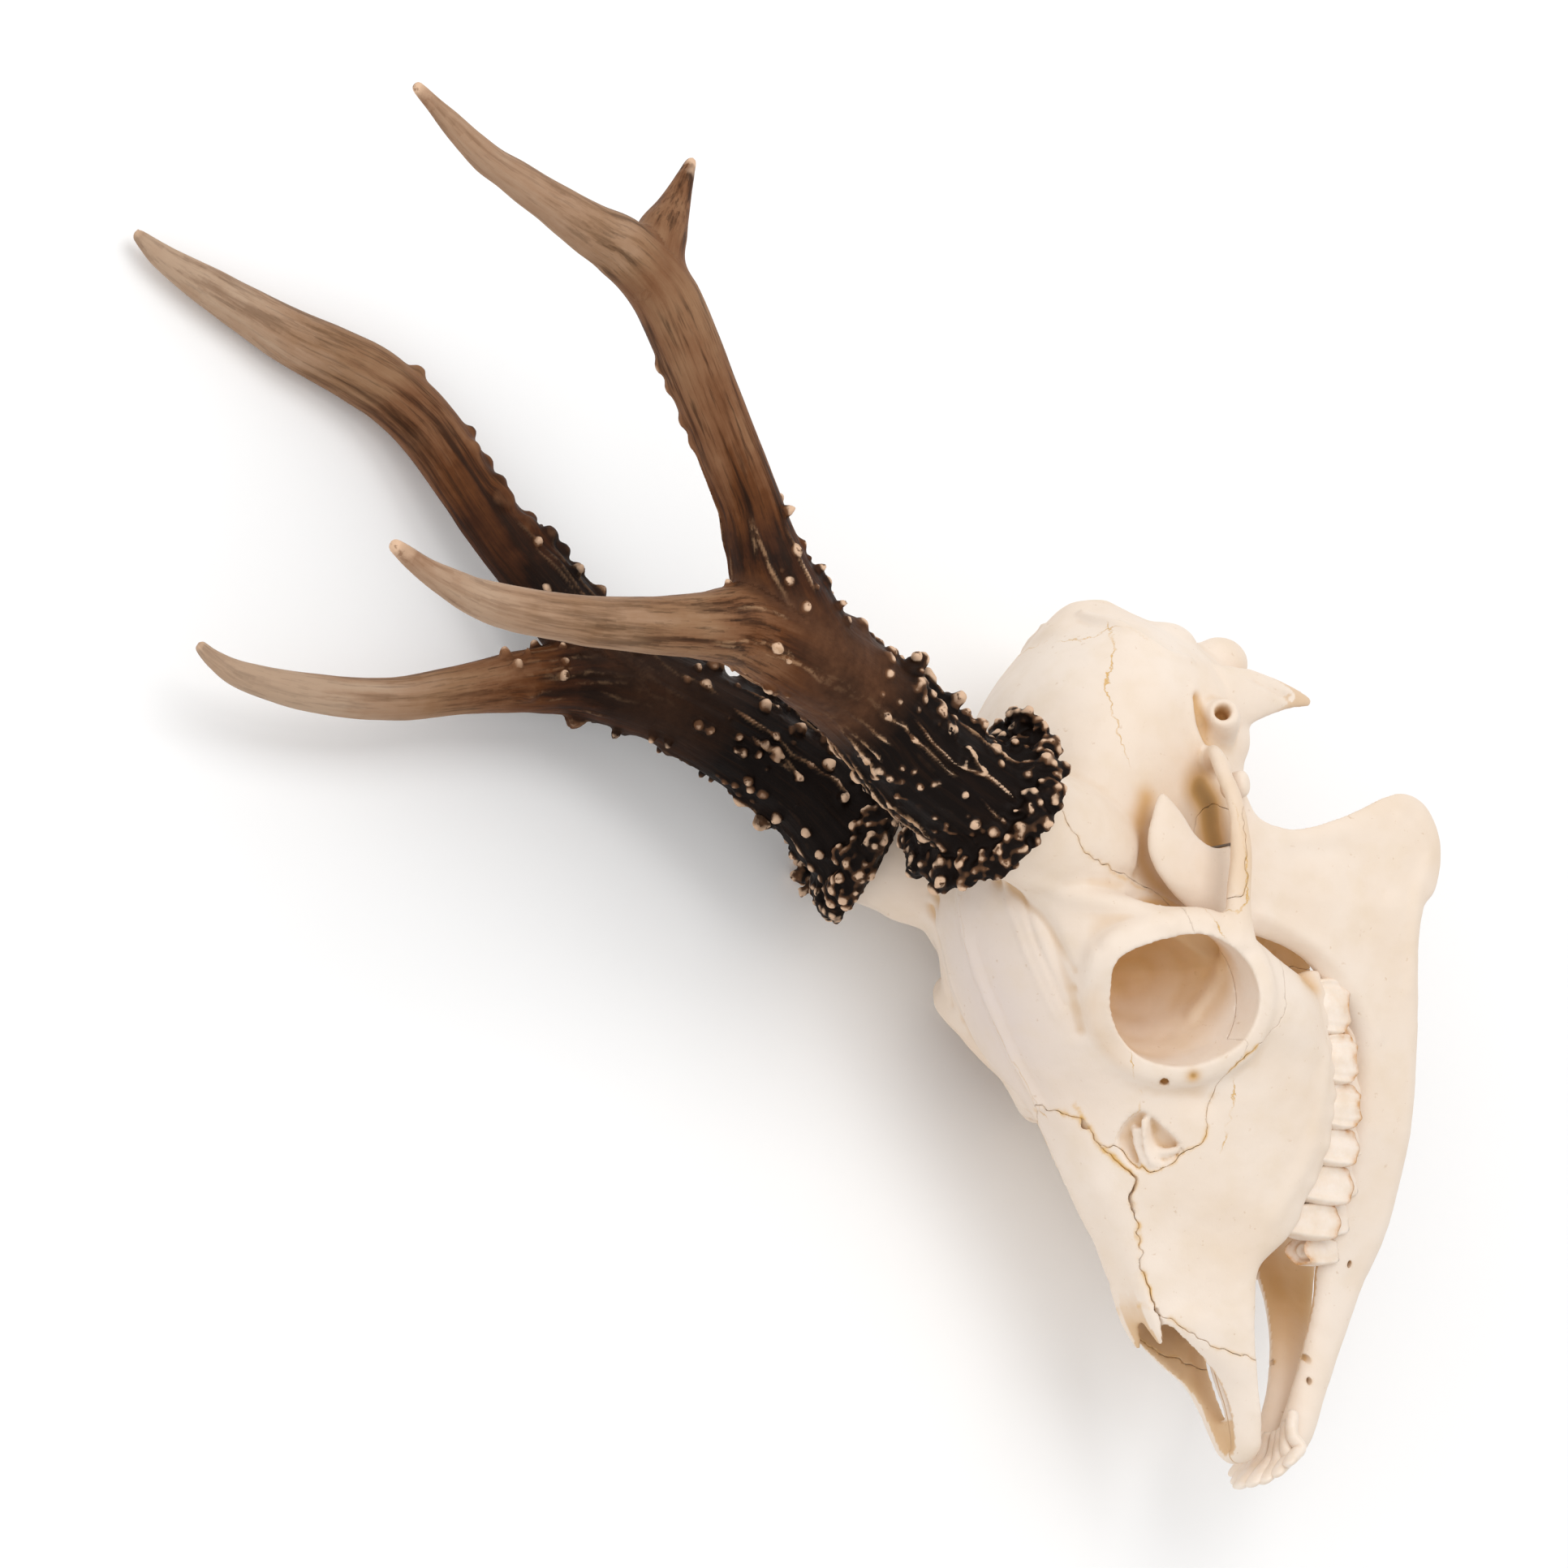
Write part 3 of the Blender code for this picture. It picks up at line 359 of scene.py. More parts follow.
lumps = [loft([section_ring(row) for row in smooth_rows(SECTIONS, 5)]), bar(NECK_CREST)]
for side in (LEFT, RIGHT):
    lumps += [bar(PEDICLE, side), rim_bar(1.12, 3.4, 4.0, side)]
    lumps += [ball((10, -89.5, 8.5), (6, 6.5, 7.5), side), ball((9, -91.5, 26), (9, 6.5, 9), side)]
    lumps.append(ball((17.5, -69, 15), (6, 9, 7.5), side))
skull = joined("skull", lumps)
melt(skull, 0.7, 24)
lumps = [take_shape(skull)]
for side in (LEFT, RIGHT):
    lumps += [rim_bar(1.035, 0.4, 1.5, side), bar(ARCH, side), bar(JAW_SOCKET, side, across=(0, 1, 0))]
    lumps += [bar(NECK_SPIKE, side), bar(EAR_TUBE, side, across=(0, 1, 0))]
    lumps += [bar(THROAT_WALL, side), bar(GUM_EDGE, side)]
skull = joined("skull", lumps)
melt(skull, SKULL_GRAIN, 8)

TEMPLE = ((30.5, -8, 43, 3.5, 9), (31, -19, 41, 5.8, 13.5), (33, -29, 41, 7.4, 16),
          (34.6, -40, 40, 6.2, 13), (34.2, -47.5, 38, 4.2, 8))
UNDER_ARCH = ((37, -18, 18.5, 9, 11.5), (36.5, -34, 16, 9.5, 13.5), (35, -50, 17, 8, 12))
EAR_HOLE = ((26.5, -70.4, 22.8, 1.7, 1.7), (30.5, -71, 25.1, 2.0, 2.0), (38, -72.5, 29.5, 3.4, 3.4))
PALATE_SLIT = ((3.6, 73, 14, 1.5, 9), (3.4, 83, 10, 1.6, 9), (2.6, 91, 8, 0.9, 9))
NOSE_CAVITY = (                # y, top, bottom, half width
    (50, 33, 18, 6), (60, 31, 14.5, 7.5), (68, 31, 13.5, 7.8), (73, 38, 13, 7.6), (80, 34, 12, 7.0),
    (88, 26, 9.5, 5.8), (95, 20, 8.0, 4.5), (99, 18, 7.6, 2.5))
SPINE_HOLE = ((0, -108, 14, 6.5, 6.5), (0, -97, 15, 6.5, 6), (0, -90, 17, 5, 5))
CHOANAE = ((0, -8, 10, 6.5, 5), (0, -22, 13, 6.5, 6), (0, -42, 9, 6, 5))
PALATE = ((0, -14, -6, 15, 8), (0, 10, -8.5, 16, 9.5), (0, 30, -8, 13, 9.5), (0, 50, -3.5, 8.5, 8))

hollows = []
for side in (LEFT, RIGHT):
    eye = []
    for share, width in ((-0.35, 1.02), (0, 1.0), (0.3, 0.96), (0.6, 0.82), (0.85, 0.58), (1.0, 0.25)):
        ring = ORBIT_CENTRE + (rim - ORBIT_CENTRE) * width + ORBIT_INWARD * ORBIT_DEPTH * share
        eye.append(ring * (side, 1, 1))
    hollows.append(loft(eye))
    hollows += [bar(TEMPLE, side, sides=32), bar(UNDER_ARCH, side), bar(EAR_HOLE, side, across=(0, 1, 0))]
    hollows.append(bar(PALATE_SLIT, side))
nose = []
for y, top, bottom, width in smooth_rows(NOSE_CAVITY, 3):
    turn = np.linspace(0, 2 * np.pi, 24, endpoint=False)
    nose.append(np.stack([width * np.sign(np.cos(turn)) * abs(np.cos(turn)) ** 0.8, 0 * turn + y,
                          (top + bottom) / 2 + (top - bottom) / 2 * np.sin(turn)], -1))
hollows += [loft(nose), bar(SPINE_HOLE), bar(CHOANAE), bar(PALATE)]
# Small openings for nerves and vessels: place, the way each one runs inwards, and its radius
FORAMINA = (
    ((25.8, 17, 43.5), (-0.7, -0.5, -0.4), 1.3), ((32.6, 17.2, 40.2), (-0.75, -0.4, -0.45), 1.35),
    ((21.9, -3.3, 66.5), (-0.3, 0.2, -0.9), 0.9), ((20.9, 0.8, 64.8), (-0.3, 0.2, -0.9), 0.8),
    ((20.6, 48, 19.8), (-0.8, -0.3, -0.3), 0.8), ((28.2, -62.8, 51), (-0.9, 0, -0.4), 0.75),
    ((26.5, -8, 32), (-0.7, -0.5, -0.5), 1.6))
for side in (LEFT, RIGHT):
    for place, way, radius in FORAMINA:
        place, way = np.array(place), np.array(way)
        ends = [(*(place + way * deep), radius * size, radius * size)
                for deep, size in ((-3, 1), (0.8, 1), (2, 0.6))]
        hollows.append(bar(ends, side, across=(0.1, 1, 0.3), sides=12))
GAP_EDGE = ((18.4, 22.8, 45.4), (12.6, 28.5, 48), (13.2, 36.4, 43.1), (17.5, 35, 39), (22.2, 32.8, 35),
            (21, 27, 40.6))
GAP_WAY = np.array((0.72, 0.3, 0.62))        # outwards from the gap between the nose and eye bones
for side in (LEFT, RIGHT):
    edge = smooth_rows(GAP_EDGE, 3, closed=True)
    rings = [(edge - edge.mean(0)) * size + edge.mean(0) + GAP_WAY * height
             for height, size in ((5, 1.1), (0.5, 1.0), (-1.6, 0.92), (-2.8, 0.7))]
    hollows.append(loft(np.array(rings) * (side, 1, 1)))
carver = joined("hollows", hollows)
melt(carver, SKULL_GRAIN, 3)
cut(skull, carver)
# The thin crumpled bone that shows in the gap in front of the eye
FOLDS = (((18, 24.5, 43.4, 1.6, 0.8), (16.6, 29.5, 41.6, 2.6, 0.7), (16.6, 35, 39.6, 2.0, 0.8)),
         ((15.4, 26.5, 44.6, 0.6, 1.0), (14.2, 31, 43.2, 0.8, 1.0), (14.4, 35.4, 41.6, 0.6, 0.9)),
         ((15.2, 31.5, 42.2, 0.9, 0.8), (18, 32.2, 38.6, 0.9, 0.7), (20.8, 32, 36.4, 0.8, 0.8)))
lumps = [take_shape(skull)]
for side in (LEFT, RIGHT):
    lumps += [bar(fold, side, across=(0, 1, 0.3), sides=12) for fold in FOLDS] + [bar(NASAL_TIPS, side)]
skull = joined("skull", lumps)
melt(skull, SKULL_GRAIN, 2)


def wobble(points, size, seed=0):
    """Smooth random bumps between about -1 and 1, each about 'size' millimetres across."""
    table = np.random.default_rng(seed).uniform(-1, 1, (32, 32, 32))
    spot = points / size
    low = np.floor(spot).astype(int)
    part = spot - low
    part = part * part * (3 - 2 * part)
    out = 0
    for corner in np.ndindex(2, 2, 2):
        weight = np.prod(np.where(corner, part, 1 - part), axis=1)
        cell = (low + corner) % 32
        out = out + weight * table[cell[:, 0], cell[:, 1], cell[:, 2]]
    return out


def near_line(points, line, reach):
    """Each point's distance to a line, up to 'reach', and the nearest stretch's direction and start."""
    line = np.array(line, float)
    distance = np.full(len(points), float(reach))
    ways, starts = np.zeros((len(points), 3)), np.zeros((len(points), 3))
    near = np.flatnonzero(((points > line.min(0) - reach) & (points < line.max(0) + reach)).all(1))
    for start, end in zip(line, line[1:]):
        step = end - start
        share = np.clip((points[near] - start) @ step / (step @ step), 0, 1)
        gap = np.linalg.norm(points[near] - start - share[:, None] * step, axis=1)
        closer = near[gap < distance[near]]
        distance[closer] = gap[gap < distance[near]]
        ways[closer], starts[closer] = step, start
    return distance, ways, starts


def both_sides(line):
    """The line on the left side, and its mirror image on the right."""
    line = np.array(line, float)
    return line * (LEFT, 1, 1), line


# Ridges and grooves of the right half: height in mm (below zero for a groove), half width, and the places
# that each one runs through
RIDGES = (
    (1.5, 1.5, ((0, -33, 81), (0, -19, 79.6), (0, -11, 77), (0, -5, 74.5), (0, 7, 68.8), (0, 20, 60))),
    (-1.2, 2.0, ((12, -29.5, 79.5), (21, -18.7, 73), (21.5, -8, 69.3), (20.5, 0.5, 65.4), (19, 6, 62.5))),
    (-0.5, 0.8, ((17, -30, 78), (17.5, -18, 74.5), (18.5, -8, 70.5), (18.5, 0, 66.5))),
    (0.6, 0.9, ((13.5, -30, 79.5), (14.5, -18, 76.5), (15.5, -6, 72), (16, 3, 67.5))),
    (-0.6, 1.0, ((15, -28, 79), (19, -21, 75.5), (22.5, -14, 71.5), (24, -7, 67.5))),
    (1.0, 2.4, ((24.6, -27.6, 83.7), (25.6, -24.6, 72.9), (30.2, -22.6, 64.8), (35.1, -20.5, 56.9),
                (39.5, -16.4, 51.1))),
    (1.7, 1.4, ((8, -98, 48), (12, -96, 48), (18.7, -93.6, 46.5), (23.4, -90.9, 44.1), (26.9, -86, 37.5),
                (25.7, -85.6, 29.4))),
    (-1.7, 1.1, ((28, -74.6, 30.7), (28, -69.9, 29.8), (28, -65.2, 27.6), (28.4, -63, 24.5))),
    (0.7, 1.3, ((27, -77, 31.5), (27.5, -71, 33), (27.5, -65.5, 31), (28.4, -62, 27.5))),
    (-0.7, 1.0, ((24.6, -83.5, 12), (22.9, -80, 1.6), (22.1, -79.6, -2.7))),
    (0.5, 1.5, ((41.5, 8.5, 33.5), (45, 0, 29.5), (45.5, -8, 31))),
    (-0.5, 1.5, ((30, -36, 71), (31, -30, 60), (26, -31, 50))),
    (0.5, 1.2, ((23, -85, 33), (21, -79, 26), (24, -72, 20))),
    (0.8, 2.0, ((31, -9.2, 29.8), (25.5, -3.4, 30.1), (23, 0.2, 32))),
    (0.8, 0.7, ((39.5, -20, 43), (40.8, -19, 41.4))),
    (0.7, 0.7, ((41.6, -18.6, 41.8), (42.6, -17, 40))),
    (0.6, 2.6, ((32.5, 8.9, 0), (31.3, 18.4, 0.9), (29.1, 27.8, 2.1), (26.3, 37.2, 5.3),
                (22.9, 46.6, 10.4))),
    (-0.8, 3.0, ((22.5, 17, 41), (26, 19, 36), (28.5, 22, 33))),
)
# The swellings over the roots of the cheek teeth: x, y
ROOTS = ((29.5, -6.5), (29.5, -0.5), (29.5, 6), (29, 11.3), (28.5, 17.2), (28, 22), (26.5, 29), (24, 37.6),
         (20.5, 46))
RIDGES += tuple((0.55, 1.7, ((x, y, -5), (x, y, 0), (x - 1, y, 6))) for x, y in ROOTS)
CROWN_SEAM = (                 # y, z from the side, and how far it gapes
    (-66, 110, 0.15), (-57, 84, 0.15), (-46, 78.5, 0.15), (-39, 75.3, 0.16), (-36, 71.6, 0.17),
    (-33.3, 68.6, 0.17), (-31.3, 62, 0.15), (-30.2, 54.6, 0.15), (-28, 44.4, 0.15), (-23.5, 36.5, 0.15),
    (-26, 32.4, 0.16), (-34, 31.6, 0.16), (-46, 30.5, 0.15), (-50, 24, 0.15), (-46, 5, 0.15),
    (-38, -24, 0.15))
FACE_SEAM = (
    (19, 84, 0.15), (20.5, 62, 0.16), (21.7, 58.5, 0.16), (25.3, 53.4, 0.16), (30.5, 49.6, 0.17),
    (31, 46.5, 0.2), (36.5, 41.2, 0.2), (36, 38.2, 0.18), (32.8, 35, 0.16), (30, 32.3, 0.17),
    (24, 32.4, 0.16), (18.5, 32, 0.16), (13, 30.6, 0.16), (3, 20, 0.15), (-14, 14, 0.15),
    (-17, -24, 0.15))
NASAL_SEAM = ((12, 58.5, 0.15), (24, 54.5, 0.16), (34, 46.5, 0.2), (38, 42.6, 0.5), (42.5, 42.5, 0.75),
              (44.8, 41.2, 0.6), (46.5, 40.6, 0.25), (50.1, 39.3, 0.2), (57.4, 37.7, 0.22),
              (62.9, 35.6, 0.3), (69.4, 32.6, 0.5), (84, 27, 0.6))
INCISIVE_SEAM = ((58, 54, 0.16), (66, 36, 0.16), (76, 20, 0.16), (84, -12, 0.16))
CROWN_SEED, FACE_SEED, NASAL_SEED, INCISIVE_SEED = 11, 12, 13, 14
JAG, JAG_SIZE = 0.6, 1.6       # how far the seams' teeth reach, and their width


def seam_wall(line, seed):
    """A thin toothed wall that stands on a line seen from the side and runs across the whole skull."""
    rows = smooth_rows(line, 12)
    steps = lengths_along(rows[:, :2])
    even = np.arange(0, steps[-1], 0.5)
    y, z, gape = (np.interp(even, steps, column) for column in rows.T)
    way = np.gradient(np.stack([y, z], -1), axis=0)
    out = np.stack([-way[:, 1], way[:, 0]], -1) / np.linalg.norm(way, axis=1)[:, None]
    across = np.arange(-60, 60.1, 0.8)
    grid = np.stack(np.broadcast_arrays(across, y[:, None], z[:, None]), -1)
    jag = JAG * wobble(grid.reshape(-1, 3), JAG_SIZE, seed).reshape(grid.shape[:2])
    sides = []
    for half in (0.5, -0.5):
        shift = jag + half * gape[:, None]
        sides.append(grid + np.stack([0 * shift, out[:, :1] * shift, out[:, 1:] * shift], -1))
    return joined("seam", [loft(np.concatenate([sides[0], sides[1][:, ::-1]], axis=1))])


def push(obj, height):
    """Moves the skin out by so much at each point."""
    move_points(obj, points_of(obj) + normals_of(obj) * height[:, None])


def engrave(obj, ridges):
    """Raises the ridges and sinks the grooves on both sides."""
    points = points_of(obj)
    height = np.zeros(len(points))
    for rise, width, line in ridges:
        for half in both_sides(smooth_rows(line, 5)):
            distance = near_line(points, half, width * 3)[0]
            twice = 1 if half[:, 0].any() else 2      # a line in the midline is its own mirror image
            height += rise * (np.exp(-(distance / width) ** 2) - np.exp(-9)) / twice
    push(obj, height)


engrave(skull, RIDGES)
spots = points_of(skull)
push(skull, 0.30 * wobble(spots, 11, 1) + 0.12 * wobble(spots, 4.5, 2) + 0.05 * wobble(spots, 1.8, 3))


CRUMB = 400                    # bodies with fewer points than this are crumbs of a cut


def pieces_of(obj, anchors):
    """Parts an object into its separate bodies, names those nearest to the anchors and removes the rest."""
    bpy.ops.object.select_all(action="DESELECT")
    bpy.context.view_layer.objects.active = obj
    obj.select_set(True)
    bpy.ops.mesh.separate(type="LOOSE")
    bodies = list(bpy.context.selected_objects)
    big = [body for body in bodies if len(body.data.vertices) > CRUMB]
    found = {}
    for name, anchor in anchors.items():
        reach = [np.linalg.norm(points_of(body) - np.array(anchor), axis=1).min() for body in big]
        found[name] = big[int(np.argmin(reach))]
        found[name].name = name + "_surface"
    for body in bodies:
        if body not in found.values():
            bpy.data.objects.remove(body)
    return found


def block(outline, low, high):
    """A flat outline of y, z, drawn out along x."""
    rings = [np.insert(np.array(outline, float), 0, depth, axis=1) for depth in (low, high)]
    return joined("block", [loft(rings)])


def slab(centre, normal, across, thickness):
    """A square slab that parts what it crosses."""
    first, second = axes_along(np.array([normal], float), (1, 0.01, 0))
    way = np.array(normal, float) / np.linalg.norm(normal)
    corners = [first[0] * u + second[0] * v for u, v in ((-1, -1), (1, -1), (1, 1), (-1, 1))]
    rings = [[np.array(centre) + corner * across / 2 + way * thickness * end for corner in corners]
             for end in (-0.5, 0.5)]
    return joined("slab", [loft(rings)])


CHEEK_OUTLINE = ((-48, 22), (-48, 33), (-37.5, 41), (-27, 46), (-19, 47), (-8, 43), (10, 30), (24, 33),
                 (28, 24), (8, 8), (-37.5, 10))
PEDICLE_TOP, BURR_WAY = np.array((24.3, -42, 88.5)), np.array((0.28, -0.45, 0.85))
BURR_WAY = BURR_WAY / np.linalg.norm(BURR_WAY)
for side in (LEFT, RIGHT):         # levels the pedicles' tops
    mirror = np.array((side, 1, 1))
    cut(skull, slab((PEDICLE_TOP + BURR_WAY * 17) * mirror, BURR_WAY * mirror, 60, 30))
cut(skull, seam_wall(CROWN_SEAM, CROWN_SEED))
cut(skull, seam_wall(FACE_SEAM, FACE_SEED))
bones = pieces_of(skull, {"braincase": (0, -75, 67), "frontal_bones": (0, -25, 82), "snout": (0, 40, 49)})
snout = bones.pop("snout")
cut(snout, seam_wall(NASAL_SEAM, NASAL_SEED))
halves = pieces_of(snout, {"nasal_bones": (0, 50, 43), "jaws": (24, 10, 6)})
bones["nasal_bones"] = halves["nasal_bones"]
jaws = halves["jaws"]
cut(jaws, slab((0, 40, 20), (1, 0, 0), 200, 0.12))
cut(jaws, seam_wall(INCISIVE_SEAM, INCISIVE_SEED))
bones.update(pieces_of(jaws, {
    "upper_jaw_left": (-22, 30, 8), "upper_jaw_right": (22, 30, 8),
    "incisive_bone_left": (-9, 93, 8), "incisive_bone_right": (9, 93, 8)}))
frontal = bones["frontal_bones"]
for side, name in ((LEFT, "cheek_bone_left"), (RIGHT, "cheek_bone_right")):
    cheek = block(CHEEK_OUTLINE, *sorted((34.5 * side, 60 * side)))
    arch = copy_of(frontal)
    cut(arch, cheek, "INTERSECT", keep_cutter=True)
    bones.update(pieces_of(arch, {name: (43.5 * side, -20, 31)}))
    middle = Vector((47 * side, -5, 27))      # the cheek bone's bed is larger than it by a fine gap
    cheek.data.transform(Matrix.Translation(middle) @ Matrix.Diagonal((1.01, 1.004, 1.006, 1))
                         @ Matrix.Translation(-middle))
    cut(frontal, cheek)
bones.update(pieces_of(frontal, {"frontal_bones": (0, -25, 82)}))


def paint(obj, name, values):
    """Stores one number for each point, for the material to read."""
    layer = obj.data.attributes.new(name, "FLOAT", "POINT")
    layer.data.foreach_set("value", np.asarray(values, np.float32))


def sunken(obj, softenings):
    """How deep each point lies under the softened surface, in mm; raised places are below zero."""
    soft = copy_of(obj)
    soften = soft.modifiers.new("soften", "SMOOTH")
    soften.factor, soften.iterations = 1.0, softenings
    apply_modifiers(soft)
    depth = ((points_of(soft) - points_of(obj)) * normals_of(obj)).sum(1)
    bpy.data.objects.remove(soft)
    return depth


# Seams that show as a toothed ochre line on the surface, on the right half
SEAMS = (
    ((0, -90.8, 56), (5, -91, 55.6), (11.3, -90, 54.6), (16.6, -89.9, 52.2), (19, -92, 47), (24, -88, 42)),
    ((18.1, -92.6, 48.4), (22.7, -85.4, 50.6), (23.8, -80, 53.2), (24.8, -74.7, 54.9),
     (27, -66.5, 54.2), (27.8, -59.7, 52.8), (27.4, -53.3, 50.5)),
    ((26.9, -86, 37.5), (27.7, -83, 36.3), (28.3, -79.7, 35.3)),
    ((0, -32, 81), (0, -19, 79.6), (0, -11, 77), (0, -5, 74.5), (0, 7, 68.8), (0, 22, 59)),
    ((31.4, 17, 28), (31.4, 19.4, 27.2), (28.7, 25.6, 27.1), (25.6, 32.8, 27.4)),
    ((24.8, 11.6, 51.9), (20.3, 17.2, 47.5), (18.4, 22.8, 45.4), (13, 29, 48)),
    ((40.2, -20.5, 41.9), (42.5, -17.7, 40.3), (44, -14.7, 38.6)),
    ((42.4, -46.3, 32.7), (45.1, -32.4, 32), (44.8, -24.8, 31.7), (44.8, -20.4, 33.6), (42.9, -20.5, 36.4)),
)
SHOWN_GAPE = 0.155             # a cut seam's lips are stained where it gapes more than this
# How ochre the lips of each cut seam are
GAPING_SEAMS = ((CROWN_SEED, 0.5, CROWN_SEAM), (FACE_SEED, 0.9, FACE_SEAM), (NASAL_SEED, 1.0, NASAL_SEAM),
                (INCISIVE_SEED, 0.5, INCISIVE_SEAM))
# Where the right half is browned most: fat stain in holes and grooves, and painted shade deep in the hollows
# behind the eye and under the arch. Each row: how much, how far around, and the places that it runs through
STAINS_AND_SHADE = (
    (0.9, 3.2, ((27.8, -48.7, 46.9), (26.9, -42, 48.3), (25.4, -34.7, 46.7), (24.5, -29.8, 43),
                (24.2, -26.6, 36.2))),
    (1.4, 5.5, ((26.8, -53, 30), (26, -50, 27), (24.7, -44.6, 25.5), (25, -38, 22))),
    (1.2, 2.0, ((25, -70, 22), (30.3, -71, 25))),
    (1.2, 1.3, ((28, -74.6, 30.7), (28, -69.9, 29.8), (28, -65.2, 27.6), (28.4, -63, 24.5))),
    (1.2, 1.5, ((25, 16.4, 43), (24, 15.6, 42.4))), (1.2, 1.6, ((32.6, 17.2, 40.2), (31.6, 16.6, 39.6))),
    (0.8, 2.5, ((36, -8, 8), (30, -7, 2), (26, -12, 4))), (1.2, 0.65, ((18, 56.2, -19.2), (10, 53, -18.6))),
    (1.2, 0.65, ((12, 78.8, -10.6), (5, 76, -10.4))), (1.2, 0.65, ((11, 83.2, -10.6), (4, 81, -10.4))))


def weather(obj, jaw=False):
    """Works out the seams, and where the material paints stain and shade into hollows and on the forehead."""
    points, normals = points_of(obj), normals_of(obj)
    signed, nearest = np.full(len(points), 3.0), np.full(len(points), 3.0)
    for line in SEAMS:
        for half in both_sides(smooth_rows(line, 4)):
            distance, ways, starts = near_line(points, half, 3.0)
            side = np.sign((np.cross(ways, normals) * (points - starts)).sum(1))
            closer = distance < nearest
            nearest[closer], signed[closer] = distance[closer], (distance * side)[closer]
    paint(obj, "seam", signed)
    paint(obj, "seam_near", np.exp(-(nearest / 1.3) ** 2))
    lips = np.zeros(len(points))
    for seed, strength, line in GAPING_SEAMS:
        rows = smooth_rows(line, 8)
        flat = np.insert(rows[rows[:, 2] > SHOWN_GAPE][:, :2], 0, 0, axis=1)
        distance, ways, starts = near_line(points * (0, 1, 1), flat, 2.5)
        step = points - starts
        side = np.sign(ways[:, 1] * step[:, 2] - ways[:, 2] * step[:, 1])
        off = distance * side - JAG * wobble(points, JAG_SIZE, seed)
        lips = np.maximum(lips, strength * np.exp(-(off / 0.38) ** 2) * (distance < 2.4) * (not jaw))
    paint(obj, "lips", lips)
    # Depth in hollows, which the material browns: painted shade in recesses, with ochre stain in small holes
    paint(obj, "hollow_shade_and_stain", sunken(obj, 40))
    # Tan in recesses, partly old fat and partly painted shade: eye sockets, temples, nose, palate, throat,
    # inner jaw
    x, y, z = points.T
    right, inwards = np.abs(x), normals[:, 0] * x < 0
    from_eye = np.stack([right, y, z], -1) - ORBIT_CENTRE
    inside = from_eye @ (ORBIT_INWARD / 0.99)
    across = np.linalg.norm(from_eye - inside[:, None] * ORBIT_INWARD, axis=1)
    eye = np.clip((inside - 2) / 5, 0, 1) * np.clip((21 - across) / 2, 0, 1)
    eye *= np.clip(0.6 - (y + 3) / 22, 0.3, 1)
    temple = np.exp(-((y + 40) / 18) ** 2 - ((z - 30) / 16) ** 2) * (right > 18)
    nose = np.clip((y - 62) / 8, 0, 1) * np.clip((12 - right) / 3, 0, 1) * inwards
    palate = np.clip((3 - z) / 6, 0, 1) * (normals[:, 2] < 0) * (right < 22)
    throat = np.clip((right - 8) / 4, 0, 1) * np.clip((16 - right) / 3, 0, 1)
    throat *= (y < 2) * (y > -45) * (z < 16)
    jaw_inside = np.exp(-((y - 58) / 18) ** 2) * inwards
    fat_stain_and_shade = jaw_inside if jaw else eye + 0.4 * temple + 0.8 * nose + 0.6 * palate + throat
    fat_stain_and_shade = np.minimum(fat_stain_and_shade, 1)
    for strength, reach, line in STAINS_AND_SHADE:
        for half in both_sides(line):
            distance = near_line(points, half, reach * 2.5)[0]
            stained = strength * np.exp(-(distance / reach) ** 2) * (distance < reach * 2.4)
            fat_stain_and_shade = np.maximum(fat_stain_and_shade, stained)
    paint(obj, "fat_stain_and_shade", fat_stain_and_shade)
    # Upward faces of the forehead, greyed in the material: partly thin bone, partly painted shade
    brow = np.exp(-(right / 17) ** 2 - ((y + 2) / 26) ** 2) * np.clip(normals[:, 2] * 2, 0, 1)
    paint(obj, "forehead_grey_and_shade", brow * (not jaw))


# Bone that was simmered, degreased and bleached is matt and ivory white, warmer and browner in its hollows,
# partly where fat stayed in and partly as painted shade, greyer on the forehead, partly as thin spongy bone
# and partly as painted shade, with ochre in the seams and fine pores.
bone = new_material("bleached bone")
place = add_node(bone, "ShaderNodeTexCoord", out="Object")
blotches = add_node(bone, "ShaderNodeTexNoise", Vector=place, Scale=31.0, Detail=4.0, Roughness=0.55)
mottle = add_node(bone, "ShaderNodeTexNoise", Vector=place, Scale=125.0, Detail=5.0, Roughness=0.6)
grain = add_node(bone, "ShaderNodeTexNoise", Vector=place, Scale=560.0, Detail=4.0, Roughness=0.6)
forehead_grey_and_shade, fat_stain_and_shade, hollow_shade_and_stain, seam, near, lips = (
    add_node(bone, "ShaderNodeAttribute", {"attribute_name": name}, out="Fac")
    for name in ("forehead_grey_and_shade", "fat_stain_and_shade", "hollow_shade_and_stain", "seam", "seam_near", "lips"))
# Tan in the eye sockets, behind the eye, up the nose and under the palate: partly old fat, partly painted
# shade
tan = add_node(bone, "ShaderNodeMapRange", Value=blotches, From_Min=0.3, From_Max=0.7, To_Min=0.75)
tan = add_node(bone, "ShaderNodeMath", {"operation": "MULTIPLY", "use_clamp": True}, in0=tan, in1=fat_stain_and_shade)
